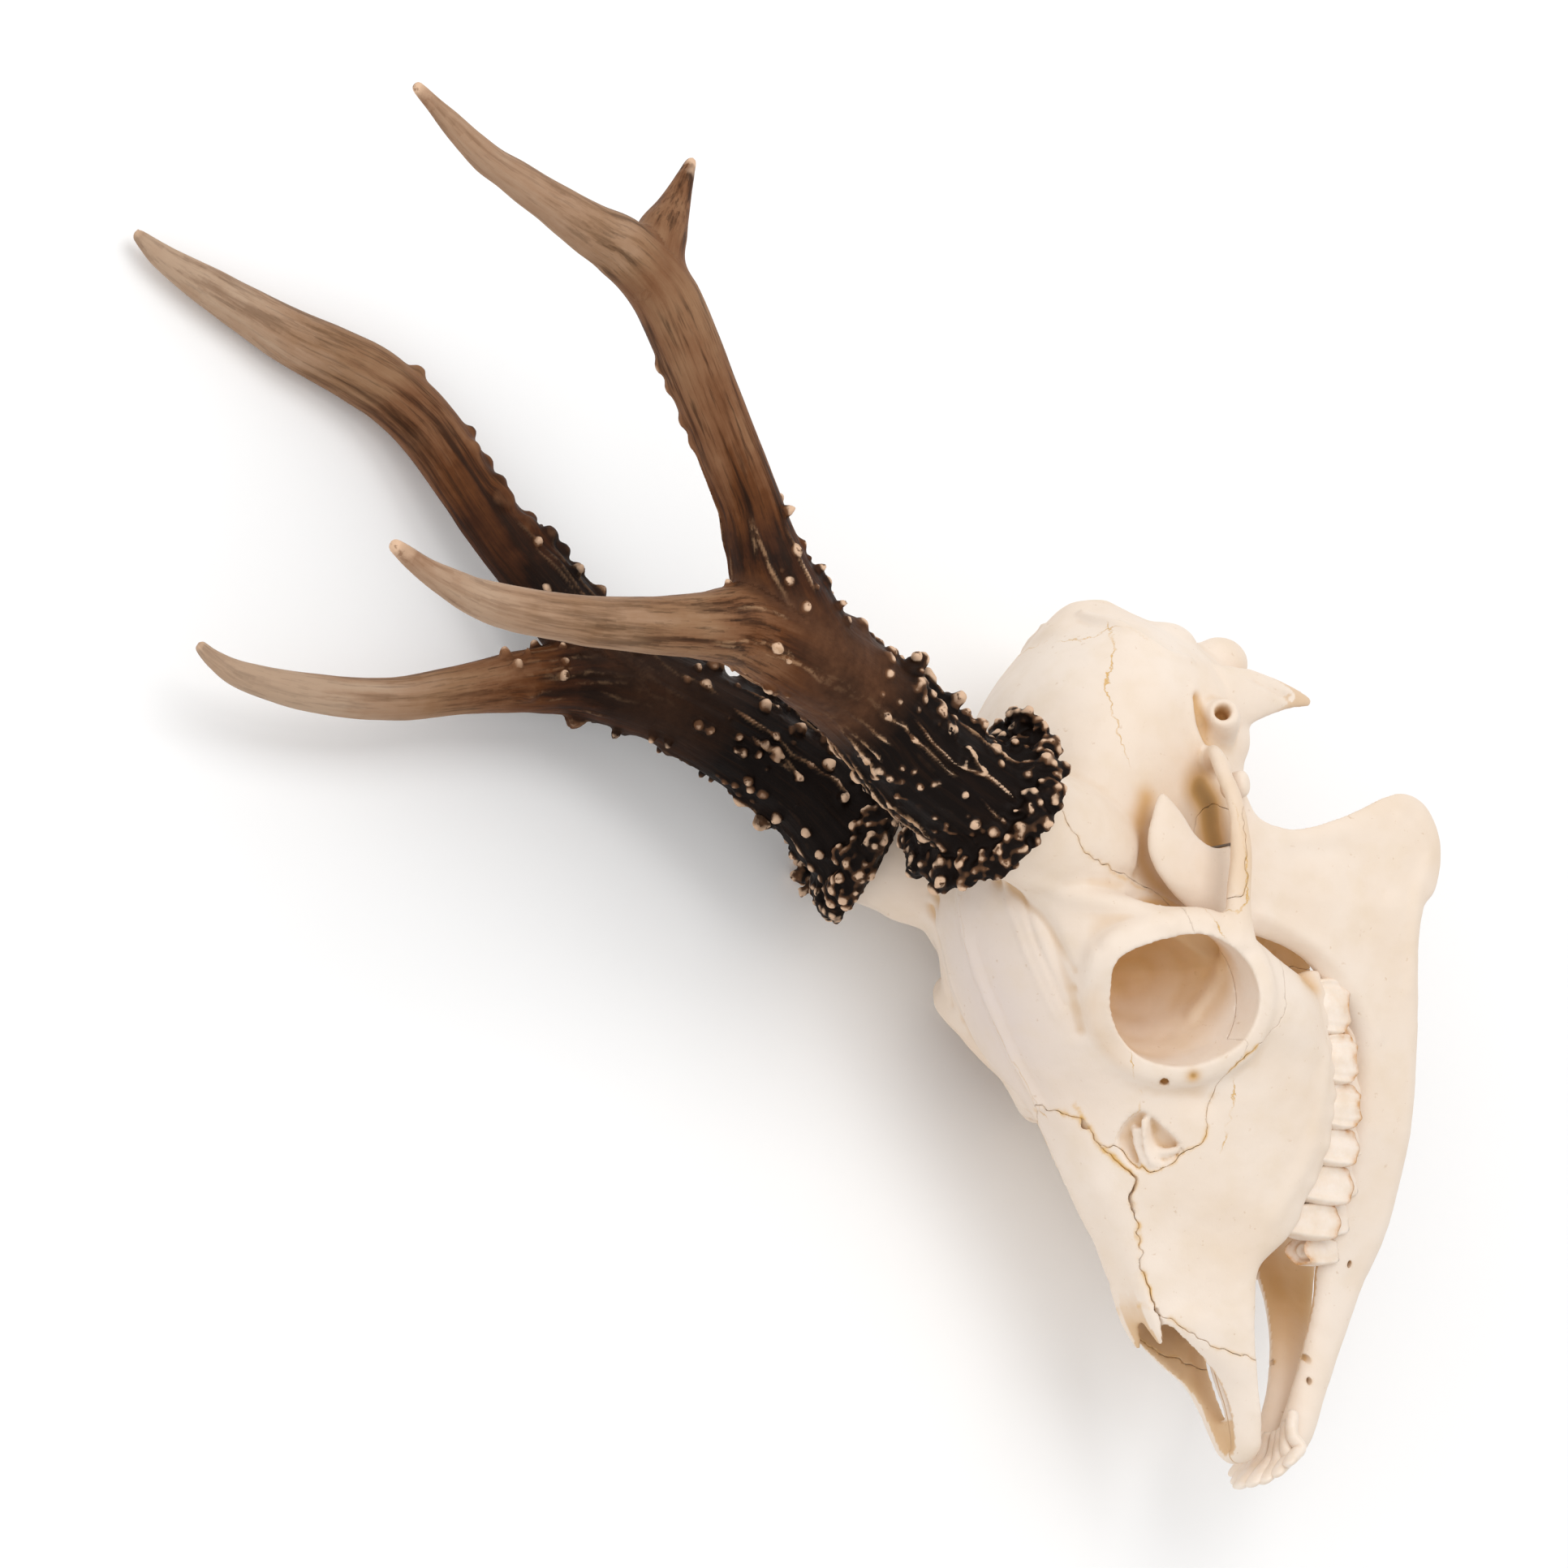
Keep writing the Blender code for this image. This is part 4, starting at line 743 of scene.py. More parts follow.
# The seams: a crooked ochre line along each drawn seam, and ochre on the lips of the ones that gape
wander = add_node(bone, "ShaderNodeTexNoise", Vector=place, Scale=330.0, Detail=4.0, Roughness=0.65)
wander = add_node(bone, "ShaderNodeMath", {"operation": "MULTIPLY_ADD"}, in0=wander, in1=5.0, in2=-2.5)
seam = add_node(bone, "ShaderNodeMath", {"operation": "ADD"}, in0=seam, in1=wander)
seam = add_node(bone, "ShaderNodeMath", {"operation": "ABSOLUTE"}, in0=seam)
seam = add_node(bone, "ShaderNodeMapRange", Value=seam, From_Min=0.08, From_Max=0.36, To_Min=1.0, To_Max=0.0)
seam = add_node(bone, "ShaderNodeMath", {"operation": "MULTIPLY"}, in0=seam, in1=near)
broken = add_node(bone, "ShaderNodeTexNoise", Vector=place, Scale=100.0, Detail=2.0)
broken = add_node(bone, "ShaderNodeMapRange", Value=broken, From_Min=0.40, From_Max=0.52)
seam = add_node(bone, "ShaderNodeMath", {"operation": "MULTIPLY"}, in0=seam, in1=broken)
broken = add_node(bone, "ShaderNodeMapRange", Value=mottle, From_Min=0.42, From_Max=0.56, To_Min=0.1)
lips = add_node(bone, "ShaderNodeMath", {"operation": "MULTIPLY"}, in0=lips, in1=broken)
stain = add_node(bone, "ShaderNodeMath", {"operation": "MAXIMUM"}, in0=seam, in1=lips)
# Layers of colour, each over the last: what it follows, from and to which value, its share at each end, and
# its colour
colour = linear("#F0E1D2")
for follows, low, high, share_low, share_high, shade in (
        (blotches, 0.35, 0.7, 0.0, 1.0, "#E9D5C0"),      # ivory, warmer in broad blotches
        (forehead_grey_and_shade, 0.0, 1.0, 0.0, 0.8, "#DDCEC6"),       # greyer where thin, partly painted shade
        (mottle, 0.5, 0.75, 0.0, 0.25, "#E3CFB2"),
        (tan, 0.0, 1.0, 0.0, 0.95, "#D0A05C"),
        (fat_stain_and_shade, 0.95, 1.4, 0.0, 0.8, "#9A7540"),       # painted shade and stain: brown at the bottom of the hollow behind the eye
        # darker and browner the deeper the recess: painted shade, with ochre stain in small holes
        (hollow_shade_and_stain, 0.12, 0.8, 0.0, 0.6, "#C9994F"),
        (stain, 0.0, 1.0, 0.0, 0.9, "#D9A84E"),
        (grain, 0.24, 0.34, 0.4, 0.0, "#B98F5C")):       # pores
    share = add_node(bone, "ShaderNodeMapRange", Value=follows, From_Min=low, From_Max=high,
                     To_Min=share_low, To_Max=share_high)
    colour = add_node(bone, "ShaderNodeMix", {"data_type": "RGBA"}, out=2, in0=share, in6=colour,
                      in7=linear(shade))
relief = add_node(bone, "ShaderNodeMath", {"operation": "MULTIPLY_ADD"}, in0=grain, in1=0.35, in2=mottle)
relief = add_node(bone, "ShaderNodeMath", {"operation": "SUBTRACT"}, in0=relief, in1=seam)
bump = add_node(bone, "ShaderNodeBump", Strength=0.45, Distance=0.0003, Height=relief)
roughness = add_node(bone, "ShaderNodeMapRange", Value=blotches, To_Min=0.42, To_Max=0.62)
bone_shader = add_node(bone, "ShaderNodeBsdfPrincipled", Base_Color=colour, Roughness=roughness,
                       Normal=bump, Specular_IOR_Level=0.35)
add_node(bone, "ShaderNodeOutputMaterial", out=None, Surface=bone_shader)


def finish_piece(obj, material, nodes):
    """Sets the piece down in the frame, gives it its material, hangs it on the root and hides the parts it
    stands for.
    """
    obj.data.transform(rest @ Matrix.Scale(MM, 4))
    spots = points_of(obj)
    spots[:, 2] = np.maximum(spots[:, 2], 0.02 * MM)     # rubbed flat where it touches the floor
    move_points(obj, spots)
    obj.data.materials.clear()
    obj.data.materials.append(material)
    obj.data.shade_smooth()
    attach(obj, "root")
    if nodes:
        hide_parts(*nodes)


for name, piece in bones.items():
    weather(piece)
    finish_piece(piece, bone, [name])


# ------------------------------------------------------------------ lower jaw
# Two flat curved bones that meet at the chin, of the same bleached bone. Each is a plate with rounded edges,
# with a rod-like joint head and a thin blade behind the eye.
JAW_OUTLINE = (                # y, z from the chin round over the teeth, the jaw joint and the angle
    (101, -6), (100, -1.5), (92, -4.2), (82, -8.2), (72, -11), (63, -12.2), (57, -12), (50, -12.2),
    (38, -13.4), (20, -14.4), (6, -14.2), (-1, -11.5), (-6, -6.5), (-12.5, 0), (-16.5, 8), (-18.5, 18),
    (-20, 28), (-23, 38), (-28, 46), (-35, 50.6), (-42, 50.2), (-49.3, 47), (-45, 41.5), (-40, 37),
    (-37.8, 31), (-40, 25), (-45, 23.5), (-49.5, 26), (-53.5, 26.5), (-52, 22.5), (-47, 19.5),
    (-44.8, 14), (-44.8, 5), (-49, -8), (-55, -21), (-56.5, -27), (-54.5, -32.5), (-49, -36.2),
    (-41, -37.2), (-33.5, -35.5), (-28.5, -31.4), (-18, -31), (3, -33.6), (24, -33.4), (45, -30.8),
    (62, -25), (80, -18.8), (96, -12))
JAW_MIDDLE = (                 # y, x of the jaw's middle, half thickness above and below
    (-64, 33.4, 1.7, 1.9), (-45, 33.6, 1.7, 2.1), (-28, 32.4, 2.0, 2.3), (-12, 28.6, 3.0, 2.8),
    (4, 24.2, 4.6, 3.6), (24, 20.6, 4.6, 3.8), (45, 14, 4.0, 3.6), (58, 9.8, 3.2, 3.2),
    (72, 6.4, 2.9, 3.0), (84, 4.6, 3.1, 3.0), (94, 4.2, 4.0, 3.6), (102, 4.0, 4.2, 3.6))
JAW_GRAIN, JAW_PLATE, JAW_EDGE = 0.5, 3.0, 4.5
JAW_JOINT = ((32, -52.6, 25.8, 1.5, 1.0), (33, -52.6, 26.2, 3, 2.2), (36, -52.6, 26.3, 3.2, 2.4),
             (38.5, -52.6, 26.3, 3, 2.2), (39.5, -52.6, 26, 1.5, 1.0))
JAW_RIDGES = (
    (0.9, 2.2, ((33.3, -23, 18), (32.7, -19.6, 7), (31.6, -14.8, -3.4), (29.5, -8, -12), (27, 2, -19))),
    (0.5, 2.0, ((35.5, -50, -24), (35, -42, -32), (34, -30, -28), (30, -10, -28))),
    (-0.5, 3.0, ((35, -38, 8), (35, -40, -8), (34, -32, -18))),
)
JAW_HOLES = (((18, 56.2, -19.2), (10, 53, -18.6)), ((12, 78.8, -10.6), (5, 76, -10.4)),
             ((11, 83.2, -10.6), (4, 81, -10.4)))
for side in (LEFT, RIGHT):
    jaw_name = "lower_jaw_left" if side == LEFT else "lower_jaw_right"
    outline = smooth_rows(JAW_OUTLINE, 4, closed=True)
    jaw = block(outline, -JAW_PLATE, JAW_PLATE)
    melt(jaw, JAW_GRAIN, 6)
    spots = points_of(jaw)
    edge = np.insert(np.vstack([outline, outline[:1]]), 0, 0, axis=1)
    inset = near_line(spots * (0, 1, 1), edge, JAW_EDGE)[0]
    profile = np.sqrt(1 - (1 - np.clip(inset / JAW_EDGE, 0.03, 1)) ** 2)
    ys, xs, upper, lower = np.array(JAW_MIDDLE).T
    share = np.clip((spots[:, 2] + 34) / 26, 0, 1)
    half = np.interp(spots[:, 1], ys, upper) * share + np.interp(spots[:, 1], ys, lower) * (1 - share)
    spots[:, 0] = side * (np.interp(spots[:, 1], ys, xs) + spots[:, 0] / JAW_PLATE * half * profile)
    move_points(jaw, spots)
    jaw = joined("jaw", [take_shape(jaw), bar(JAW_JOINT, side, across=(0, 1, 0))])
    outward(jaw)
    melt(jaw, JAW_GRAIN, 5)
    holes = joined("holes", [bar([(*place, 0.95, 0.65) for place in hole], side, across=(0, 1, 0), sides=12)
                             for hole in JAW_HOLES])
    cut(jaw, holes)
    engrave(jaw, JAW_RIDGES)
    spots = points_of(jaw)
    push(jaw, 0.22 * wobble(spots, 12, 21) + 0.07 * wobble(spots, 4, 22) + 0.03 * wobble(spots, 1.6, 23))
    cut(jaw, slab((-5 * side, 80, 0), (1, 0, 0), 120, 10.16))      # parts the halves at the chin
    jaw.name = jaw_name + "_surface"
    weather(jaw, jaw=True)
    finish_piece(jaw, bone, [jaw_name])


# ------------------------------------------------------------------ teeth
# Grinding teeth in four rows and eight spade-like front teeth in the lower jaw: glossy white enamel over
# dentine, grown into the jaws, with brown food stain in the furrows and along the worn edges.
UPPER_TEETH = (12.8, 11.6, 10.3, 8.5, 8.8, 8.0)      # lengths, last molar first
LOWER_TEETH = (14.5, 11.2, 10.2, 9.4, 8.6, 6.6)
UPPER_BACK, LOWER_BACK = -10.0, -5.0
UPPER_TIPS = (                 # y, z of the outer edge's tips, and how far out it lies
    (-10, -8.4, 31), (-1, -9.4, 31.2), (7.6, -10.9, 30.8), (18.8, -12.8, 28.9), (26.2, -13.9, 26.8),
    (35.3, -14.7, 23.9), (44.7, -12.4, 20.9), (50, -10.5, 19))
CHEW_HEIGHT, CHEW_X, CHEW_SLOPE = -11.0, 30.0, -0.45
CUSP = 2.2                     # how much the tips of a lobe stand out past its middle


def cheek_tooth(middle, length, x, half, root, tip, lobes, jaw, side):
    """One grinding tooth of one or two crescent lobes with ribs down its outer wall, and its worn edge."""
    turn = np.linspace(0, 2 * np.pi, 64, endpoint=False)
    along = np.sign(np.cos(turn)) * abs(np.cos(turn)) ** 0.4
    out = np.sign(np.sin(turn)) * abs(np.sin(turn)) ** 0.4
    wave = np.cos(2 * np.pi * lobes * (along / 2 + 0.5))
    ribs = np.where(out > 0, 0.10 * wave + 0.08 * np.cos(4 * np.pi * lobes * (along / 2 + 0.5)), 0.14 * wave)
    out = out * (1 + np.where(out > 0, ribs, -ribs))
    rings = []
    for share, wide, thick in ((0, 0.80, 0.6), (0.28, 0.86, 0.74), (0.40, 0.95, 0.84), (0.5, 1.02, 0.92),
                               (0.7, 1.05, 0.99), (0.9, 1.04, 1.0), (1.0, 1.0, 0.95)):
        rings.append((along * wide, out * thick, share + 0 * along, share ** 3 * np.ones_like(along)))
    for wide, dip in ((0.84, 0.03), (0.66, 0.24), (0.46, 0.12), (0.22, 0.18)):
        rings.append((along * wide, out * wide, 1 - dip + 0 * along, wide * np.ones_like(along)))
    places = []
    for u, v, height, zig in rings:
        slope = CHEW_SLOPE * v * half * height
        zigzag = jaw * CUSP * 0.5 * zig * np.cos(2 * np.pi * lobes * (u / 2 + 0.5))
        z = root + (tip - root) * height + slope + zigzag
        places.append(np.stack([side * (x + v * half), middle + u * length / 2, z], -1))
    return loft(places), places[6]


def incisor(k, side):
    """One of the spade-shaped front teeth, k places from the middle."""
    x, y, tip, wide = 1.9 + 2.6 * k, 106.2 - 0.45 * k * k, 4.2 - 1.5 * k, 2.5 - 0.2 * k
    rows = (
        (x * 0.8, y - 13, -5, 1.4, 1.6), (x * 0.92, y - 7, -3.2, 1.6, 1.6), (x, y - 4, tip - 4.6, 2.0, 1.6),
        (x * 1.03, y - 2, tip - 2.6, wide, 1.5), (x * 1.06, y - 0.4, tip - 0.8, wide, 1.2),
        (x * 1.07, y + 0.4, tip + 0.1, wide * 0.8, 0.8), (x * 1.07, y + 0.7, tip + 0.5, wide * 0.3, 0.3))
    return bar(rows, side, sides=16, steps=3)


# Enamel is glassy and white, and food has stained it brown in its furrows and along the worn edge
enamel = new_material("tooth enamel")
place = add_node(enamel, "ShaderNodeTexCoord", out="Object")
streaks = add_node(enamel, "ShaderNodeTexNoise", Vector=place, Scale=230.0, Detail=4.0, Roughness=0.6)
share = add_node(enamel, "ShaderNodeMapRange", Value=streaks, From_Min=0.35, From_Max=0.7)
colour = add_node(enamel, "ShaderNodeMix", {"data_type": "RGBA"}, out=2, in0=share, in6=linear("#F3E5D7"),
                  in7=linear("#EAD7C2"))
specks = add_node(enamel, "ShaderNodeTexNoise", Vector=place, Scale=450.0, Detail=3.0, Roughness=0.6)
specks = add_node(enamel, "ShaderNodeMapRange", Value=specks, From_Min=0.38, From_Max=0.6, To_Min=0.4)
stain = add_node(enamel, "ShaderNodeAttribute", {"attribute_name": "stain"}, out="Fac")
share = add_node(enamel, "ShaderNodeMath", {"operation": "MULTIPLY", "use_clamp": True}, in0=specks,
                 in1=stain)
colour = add_node(enamel, "ShaderNodeMix", {"data_type": "RGBA"}, out=2, in0=share, in6=colour,
                  in7=linear("#CE9142"))
bump = add_node(enamel, "ShaderNodeBump", Strength=0.1, Distance=0.0002, Height=streaks)
enamel_shader = add_node(enamel, "ShaderNodeBsdfPrincipled", Base_Color=colour, Roughness=0.34, Normal=bump,
                         Subsurface_Weight=0.1, Subsurface_Radius=(0.001, 0.0008, 0.0006))
add_node(enamel, "ShaderNodeOutputMaterial", out=None, Surface=enamel_shader)


def chew_z(x):
    """Height at which upper and lower teeth meet."""
    return CHEW_HEIGHT + CHEW_SLOPE * (x - CHEW_X)


def finish_teeth(name, shapes, edges=()):
    """Makes one piece of a row of teeth, stained along their worn edges and in their furrows."""
    teeth = joined(name, shapes)
    outward(teeth)
    finer = teeth.modifiers.new("finer", "SUBSURF")
    finer.levels = finer.render_levels = 1
    apply_modifiers(teeth)
    points = points_of(teeth)
    stain = np.clip(sunken(teeth, 10) * 3 - 0.1, 0, 0.6)
    for edge in edges:
        distance = near_line(points, np.vstack([edge, edge[:1]]), 3.0)[0]
        stain = np.maximum(stain, np.exp(-(distance / 1.2) ** 2) * (distance < 2.8))
    paint(teeth, "stain", stain)
    finish_piece(teeth, enamel, [])


for side, where in ((LEFT, "left"), (RIGHT, "right")):
    upper_row, lower_row = [], []
    back = UPPER_BACK
    for i, length in enumerate(UPPER_TEETH):
        middle, half = back + length / 2, 5.0 - 0.35 * i
        ys, zs, xs = np.array(UPPER_TIPS).T
        edge_z, edge_x = np.interp(middle, ys, zs), np.interp(middle, ys, xs)
        root = -5.2 + 0.0085 * (middle - 19) ** 2 + 5
        tip = edge_z - CHEW_SLOPE * half
        lobes = 2 if i < 3 else 1
        upper_row.append(cheek_tooth(middle, length * 1.02, edge_x - half, half, root, tip, lobes, 1, side))
        back += length
    back = LOWER_BACK
    for i, length in enumerate(LOWER_TEETH):
        middle = back + length / 2
        x, half = 22.6 - 0.0037 * (middle - 4) ** 2, (5.2 - 0.35 * i) * 0.72
        root = -14.2 + 0.0024 * (middle - 14) ** 2 - 5
        tip = chew_z(x) - 0.8 + (1.4 if i == 5 else 0)
        lobes = 2 if i < 3 else 1
        lower_row.append(cheek_tooth(middle, length * 1.02, x, half, root, tip, lobes, -1, side))
        back += length
    for name, row in (("upper_cheek_teeth_", upper_row), ("lower_cheek_teeth_", lower_row)):
        finish_teeth(name + where, [tooth for tooth, edge in row], [edge for tooth, edge in row])
    finish_teeth("front_teeth_" + where, [incisor(k, side) for k in range(4)])


# ------------------------------------------------------------------ jaw wire
# A short thin steel wire behind the left eye that ties the lower jaw to the skull. It runs from the skull's
# side through the blade of the jaw.
steel = new_material("dull steel wire")      # drawn wire, slightly dulled
steel_shader = add_node(steel, "ShaderNodeBsdfPrincipled", Base_Color=linear("#8C8A88"), Metallic=1.0,
                        Roughness=0.4)
add_node(steel, "ShaderNodeOutputMaterial", out=None, Surface=steel_shader)
WIRE = ((22, -38.8, 29.7), (26, -38.8, 29), (30, -38.8, 28.1), (34, -38.8, 27.1), (36.5, -38.7, 26.8))
WIRE_RADIUS = 0.35
wire_rows = [(*place, WIRE_RADIUS, WIRE_RADIUS) for place in WIRE]
wire = joined("jaw_wire", [bar(wire_rows, LEFT, across=(0, 1, 0), sides=12)])
outward(wire)
finish_piece(wire, steel, [])


# ------------------------------------------------------------------ antlers
# Solid horn-brown bone that grew out of the pedicles: a knobbly ring at the foot, a beam with furrows and
# pearls, and smooth tines that rubbing has worn pale. Each antler is one piece, nearly black at the foot.

# Rows of x, y, z and radius, from the foot to the tips
LEFT_ANTLER = {
    "beam": ((24, -42, 88.5, 14.5), (25.2, -46.5, 99.5, 13.6), (26.9, -52, 111.5, 13.2),
             (28.6, -59, 121, 12.4), (30.9, -65.9, 133.4, 11.8), (33.8, -71.2, 145.6, 11.8),
             (37.8, -84.3, 157, 9.8), (39.2, -92.9, 161.5, 8.3), (40.9, -101.5, 165.5, 7.3),
             (42.9, -109.1, 170.4, 7.2), (44.4, -117.5, 175.5, 7.2), (45.8, -125, 180.3, 7.3),
             (48.4, -136.4, 187.8, 7.5), (50.2, -145.5, 195, 7.6), (52.5, -152, 206, 6.9),
             (53.8, -154.4, 214.5, 5.9), (55.5, -158, 225.3, 4.8), (56.8, -162, 235.9, 4.0),
             (58.1, -166.4, 246.3, 3.3), (60, -178, 263.2, 1.4)),
    "brow": ((30, -63, 128, 8.5), (34, -67.5, 142, 10.6), (36.1, -72, 155.5, 10.4),
             (37.1, -74.2, 167, 9.0), (37.8, -73.1, 176.5, 7.6), (39.5, -71.1, 192.2, 6.4),
             (41.7, -69.5, 213.2, 5.5), (43.8, -70, 235.8, 4.7), (44.8, -74.1, 250.8, 3.0),
             (45, -80, 261.9, 1.5)),
    "rear": ((51, -146.2, 197.8, 6.4), (51, -156, 194.6, 6.2), (51, -163.5, 191, 4.0),
             (51, -168, 189, 2.8), (51, -172.3, 187.1, 2.0), (51, -176.2, 185.4, 1.3)),
}
RIGHT_ANTLER = {
    "beam": ((24, -42, 88.5, 14.5), (25.6, -50, 98, 12.6), (27, -58, 106.5, 11.6),
             (29.6, -66.4, 119.5, 11.4), (33, -73.7, 133.5, 11.2), (36.9, -81.4, 148.6, 10.6),
             (38.8, -91.3, 159.5, 9.2), (41.1, -102.4, 168.9, 7.9), (43.5, -112.1, 177, 7.3),
             (46.2, -124.4, 185.2, 7.2), (49.2, -137.3, 193.3, 7.5), (51.6, -145.6, 201.8, 7.6),
             (52.9, -149.8, 208.8, 7.7), (54, -152.8, 216, 7.3), (55.5, -156.8, 226.6, 6.6),
             (56.9, -161.9, 237.2, 5.6), (58, -166.9, 247.6, 4.6), (59.2, -172.1, 257.7, 3.1),
             (60, -177.5, 264.9, 1.4)),
    "brow": ((32, -71.5, 130, 8.2), (35.9, -77.2, 147.1, 9.6), (37.8, -79, 160.4, 8.6),
             (39.2, -77.6, 171.9, 7.5), (40.1, -76.2, 180, 6.9), (41, -74, 190, 5.8),
             (42.8, -70.1, 208.2, 5.0), (44.1, -69.5, 228.6, 4.5), (44.9, -71.5, 245.5, 3.4),
             (45, -74.6, 253.6, 2.2), (45, -77.9, 258, 1.5)),
}
ANTLER_SKIN_GRAIN, ANTLER_GRAIN = 0.8, 0.54      # before and after the pearls are put on
BURR_CENTRE = {LEFT: np.array((22.4, -42, 88.5)), RIGHT: np.array((22.6, -43.6, 89))}
BURR_RADIUS = {LEFT: 19.6, RIGHT: 18.6}
RIM_TEETH = 42
PEARLED_HEIGHT = 92.0                            # how far up the beam pearls grow
# The knobs that stand out most on a horn: how far up it, at what angle (0 on the outer side, a quarter turn
# to the front), how far they stand out and how thick they are
KNOBS = {
    LEFT: {
        "beam": (
            (42, -0.95, 5.0, 2.2), (57, -1.0, 3.0, 1.9), (30, -0.9, 4.4, 1.9), (36, -1.0, 2.6, 1.4),
            (18, -0.85, 3.2, 1.7), (23, -1.0, 2.6, 1.4), (64, -1.05, 1.8, 1.3), (79, -1.0, 1.6, 1.2),
            (50, -0.5, 1.8, 2.0), (47, -1.0, 2.0, 1.4), (90, -1.0, 1.2, 1.2), (33, -0.35, 1.8, 1.9),
            (29, -0.2, 1.8, 2.0), (22, -0.1, 1.5, 1.5), (42, -0.3, 1.6, 1.5), (40, -0.6, 1.7, 1.7),
            (138, 2.1, 1.0, 1.6), (133, 2.1, 0.8, 1.4), (126, 2.1, 0.9, 1.5), (120, 2.1, 0.7, 1.5))},
    RIGHT: {
        "beam": (
            (46, -1.94, 3.4, 1.6), (38, -1.94, 4.6, 1.8), (30, -1.94, 3.6, 1.6), (21, -1.94, 3.4, 1.6),
            (42, -2.0, 2.4, 1.3), (34, -2.1, 2.8, 1.4), (25, -2.0, 2.4, 1.4), (26, 1.2, 2.6, 1.4),
            (33, 1.2, 2.0, 1.3), (53, -1.94, 2.6, 1.4), (60, -1.94, 2.6, 1.5), (66, 1.1, 2.6, 1.6),
            (55, 1.2, 2.0, 1.3), (98, -2.0, 1.8, 1.7), (104, -2.0, 2.4, 1.9), (109, -2.2, 2.6, 2.3),
            (113, -2.6, 1.2, 2.6), (116, -2.0, 1.6, 1.7), (123, -2.9, 1.2, 2.9), (127, -2.5, 1.4, 1.8),
            (132, -2.1, 1.0, 1.6), (141, -2.0, 1.5, 1.5), (157, -2.0, 1.6, 1.9), (136, -2.7, 0.9, 1.7),
            (86, -1.9, 2.2, 1.5), (92, -2.1, 2.0, 1.5), (80, -1.94, 2.0, 1.4)),
        "brow": ((32, 1.2, 2.8, 2.0), (48, 2.6, 1.2, 1.8))},
}


def horn(rows, side):
    """A round tapering horn through rows of x, y, z and radius."""
    line = smooth_rows(rows, 6)
    return bar(np.hstack([line, line[:, 3:4]]), side, sides=40, steps=1)


def burr(side, seed):
    """The ring of knobs at the antler's foot, which flares out like a skirt."""
    random = np.random.default_rng(seed)
    first, second = (row[0] for row in axes_along(BURR_WAY[None], (1, 0, 0)))

    def spot(angle, reach, height):
        out = first * np.cos(angle) + second * np.sin(angle)
        return BURR_CENTRE[side] + out * reach + BURR_WAY * height

    ring = BURR_RADIUS[side]
    skirt = (                      # height above the pedicle, share of the radius
        (-1, 0.82), (0.4, 0.95), (2.0, 1.0), (3.8, 0.97), (5.6, 0.85), (8, 0.74), (11.5, 0.66), (16, 0.58))
    rows = [(*spot(0, 0, height), ring * size, ring * size) for height, size in skirt]
    shapes = [bar(rows, side, sides=48)]
    # Teeth along the rim, a row of large pearls above them, and smaller ones further in
    for angle in (np.arange(RIM_TEETH) + random.uniform(-0.35, 0.35, RIM_TEETH)) * 2 * np.pi / RIM_TEETH:
        out, thick = ring * random.uniform(1.04, 1.16), random.uniform(0.9, 1.5)
        low = random.uniform(0.4, 2.2)
        tooth = [(*spot(angle, reach, low + rise), thick * size, thick * size)
                 for reach, rise, size in ((15, 1, 1.2), (out - 2, 0, 1.0), (out, -0.3, 0.7))]
        shapes.append(bar(tooth, side, across=(0.3, 1, 0.2), sides=12))
    for count, reach, high, small, large in (
            (30, 1.02, 3.0, 1.6, 2.5), (28, 0.93, 5.2, 1.2, 2.0), (24, 0.80, 7.8, 0.8, 1.5)):
        for angle in (np.arange(count) + random.uniform(-0.4, 0.4, count)) * 2 * np.pi / count:
            size = random.uniform(small, large)
            out = ring * reach * random.uniform(0.95, 1.05)
            place = spot(angle, out, high + random.uniform(-0.8, 0.8))
            shapes.append(ball(place, (size, size, size * 1.2), side))
    # The tallest knobs stand on the rear of the left ring and the outer side of the right one
    tall = ((-1.38, 23, 8, 2.3), (-1.12, 22.5, 5.5, 2.1), (-1.65, 22.5, 5, 2.0)) if side == LEFT else (
        (0.1, 24, 9, 2.6), (0.3, 23, 6.5, 2.2))
    for angle, out, high, thick in tall:
        stem = [(*spot(angle, reach, rise), thick * size, thick * size) for reach, rise, size in (
            (17, 3, 1.0), ((17 + out) / 2, high * 0.6, 0.9), (out, high, 0.75))]
        shapes.append(bar(stem, side, across=(0.3, 1, 0.2), sides=14))
        for turned in (-0.1, 0.1):
            shapes.append(ball(spot(angle + turned, out + 0.6, high + 0.6), (thick * 0.62,) * 3, side))
    return shapes


def knobs(rows, side, places):
    """The knobs that stand out most on one horn."""
    line = smooth_rows(rows, 8)
    steps = lengths_along(line[:, :3])
    across, front = axes_along(np.gradient(line[:, :3], axis=0), (1, 0, 0))
    shapes = []
    for up, angle, height, thick in places:
        i = np.searchsorted(steps, up)
        way = across[i] * np.cos(angle) + front[i] * np.sin(angle)
        stem = [(*(line[i, :3] + way * (line[i, 3] + rise)), thick * size, thick * size) for rise, size in (
            (-2.5, 1.6), (height * 0.3, 1.15), (height * 0.85, 0.95), (height * 1.15, 0.6))]
        shapes.append(bar(stem, side, across=(0.1, 0.4, 1), sides=14))
    return shapes


PALE_AFTER = {"beam": 1.0, "brow": 0.85, "rear": 5.0}      # after what part of its length a horn is palest


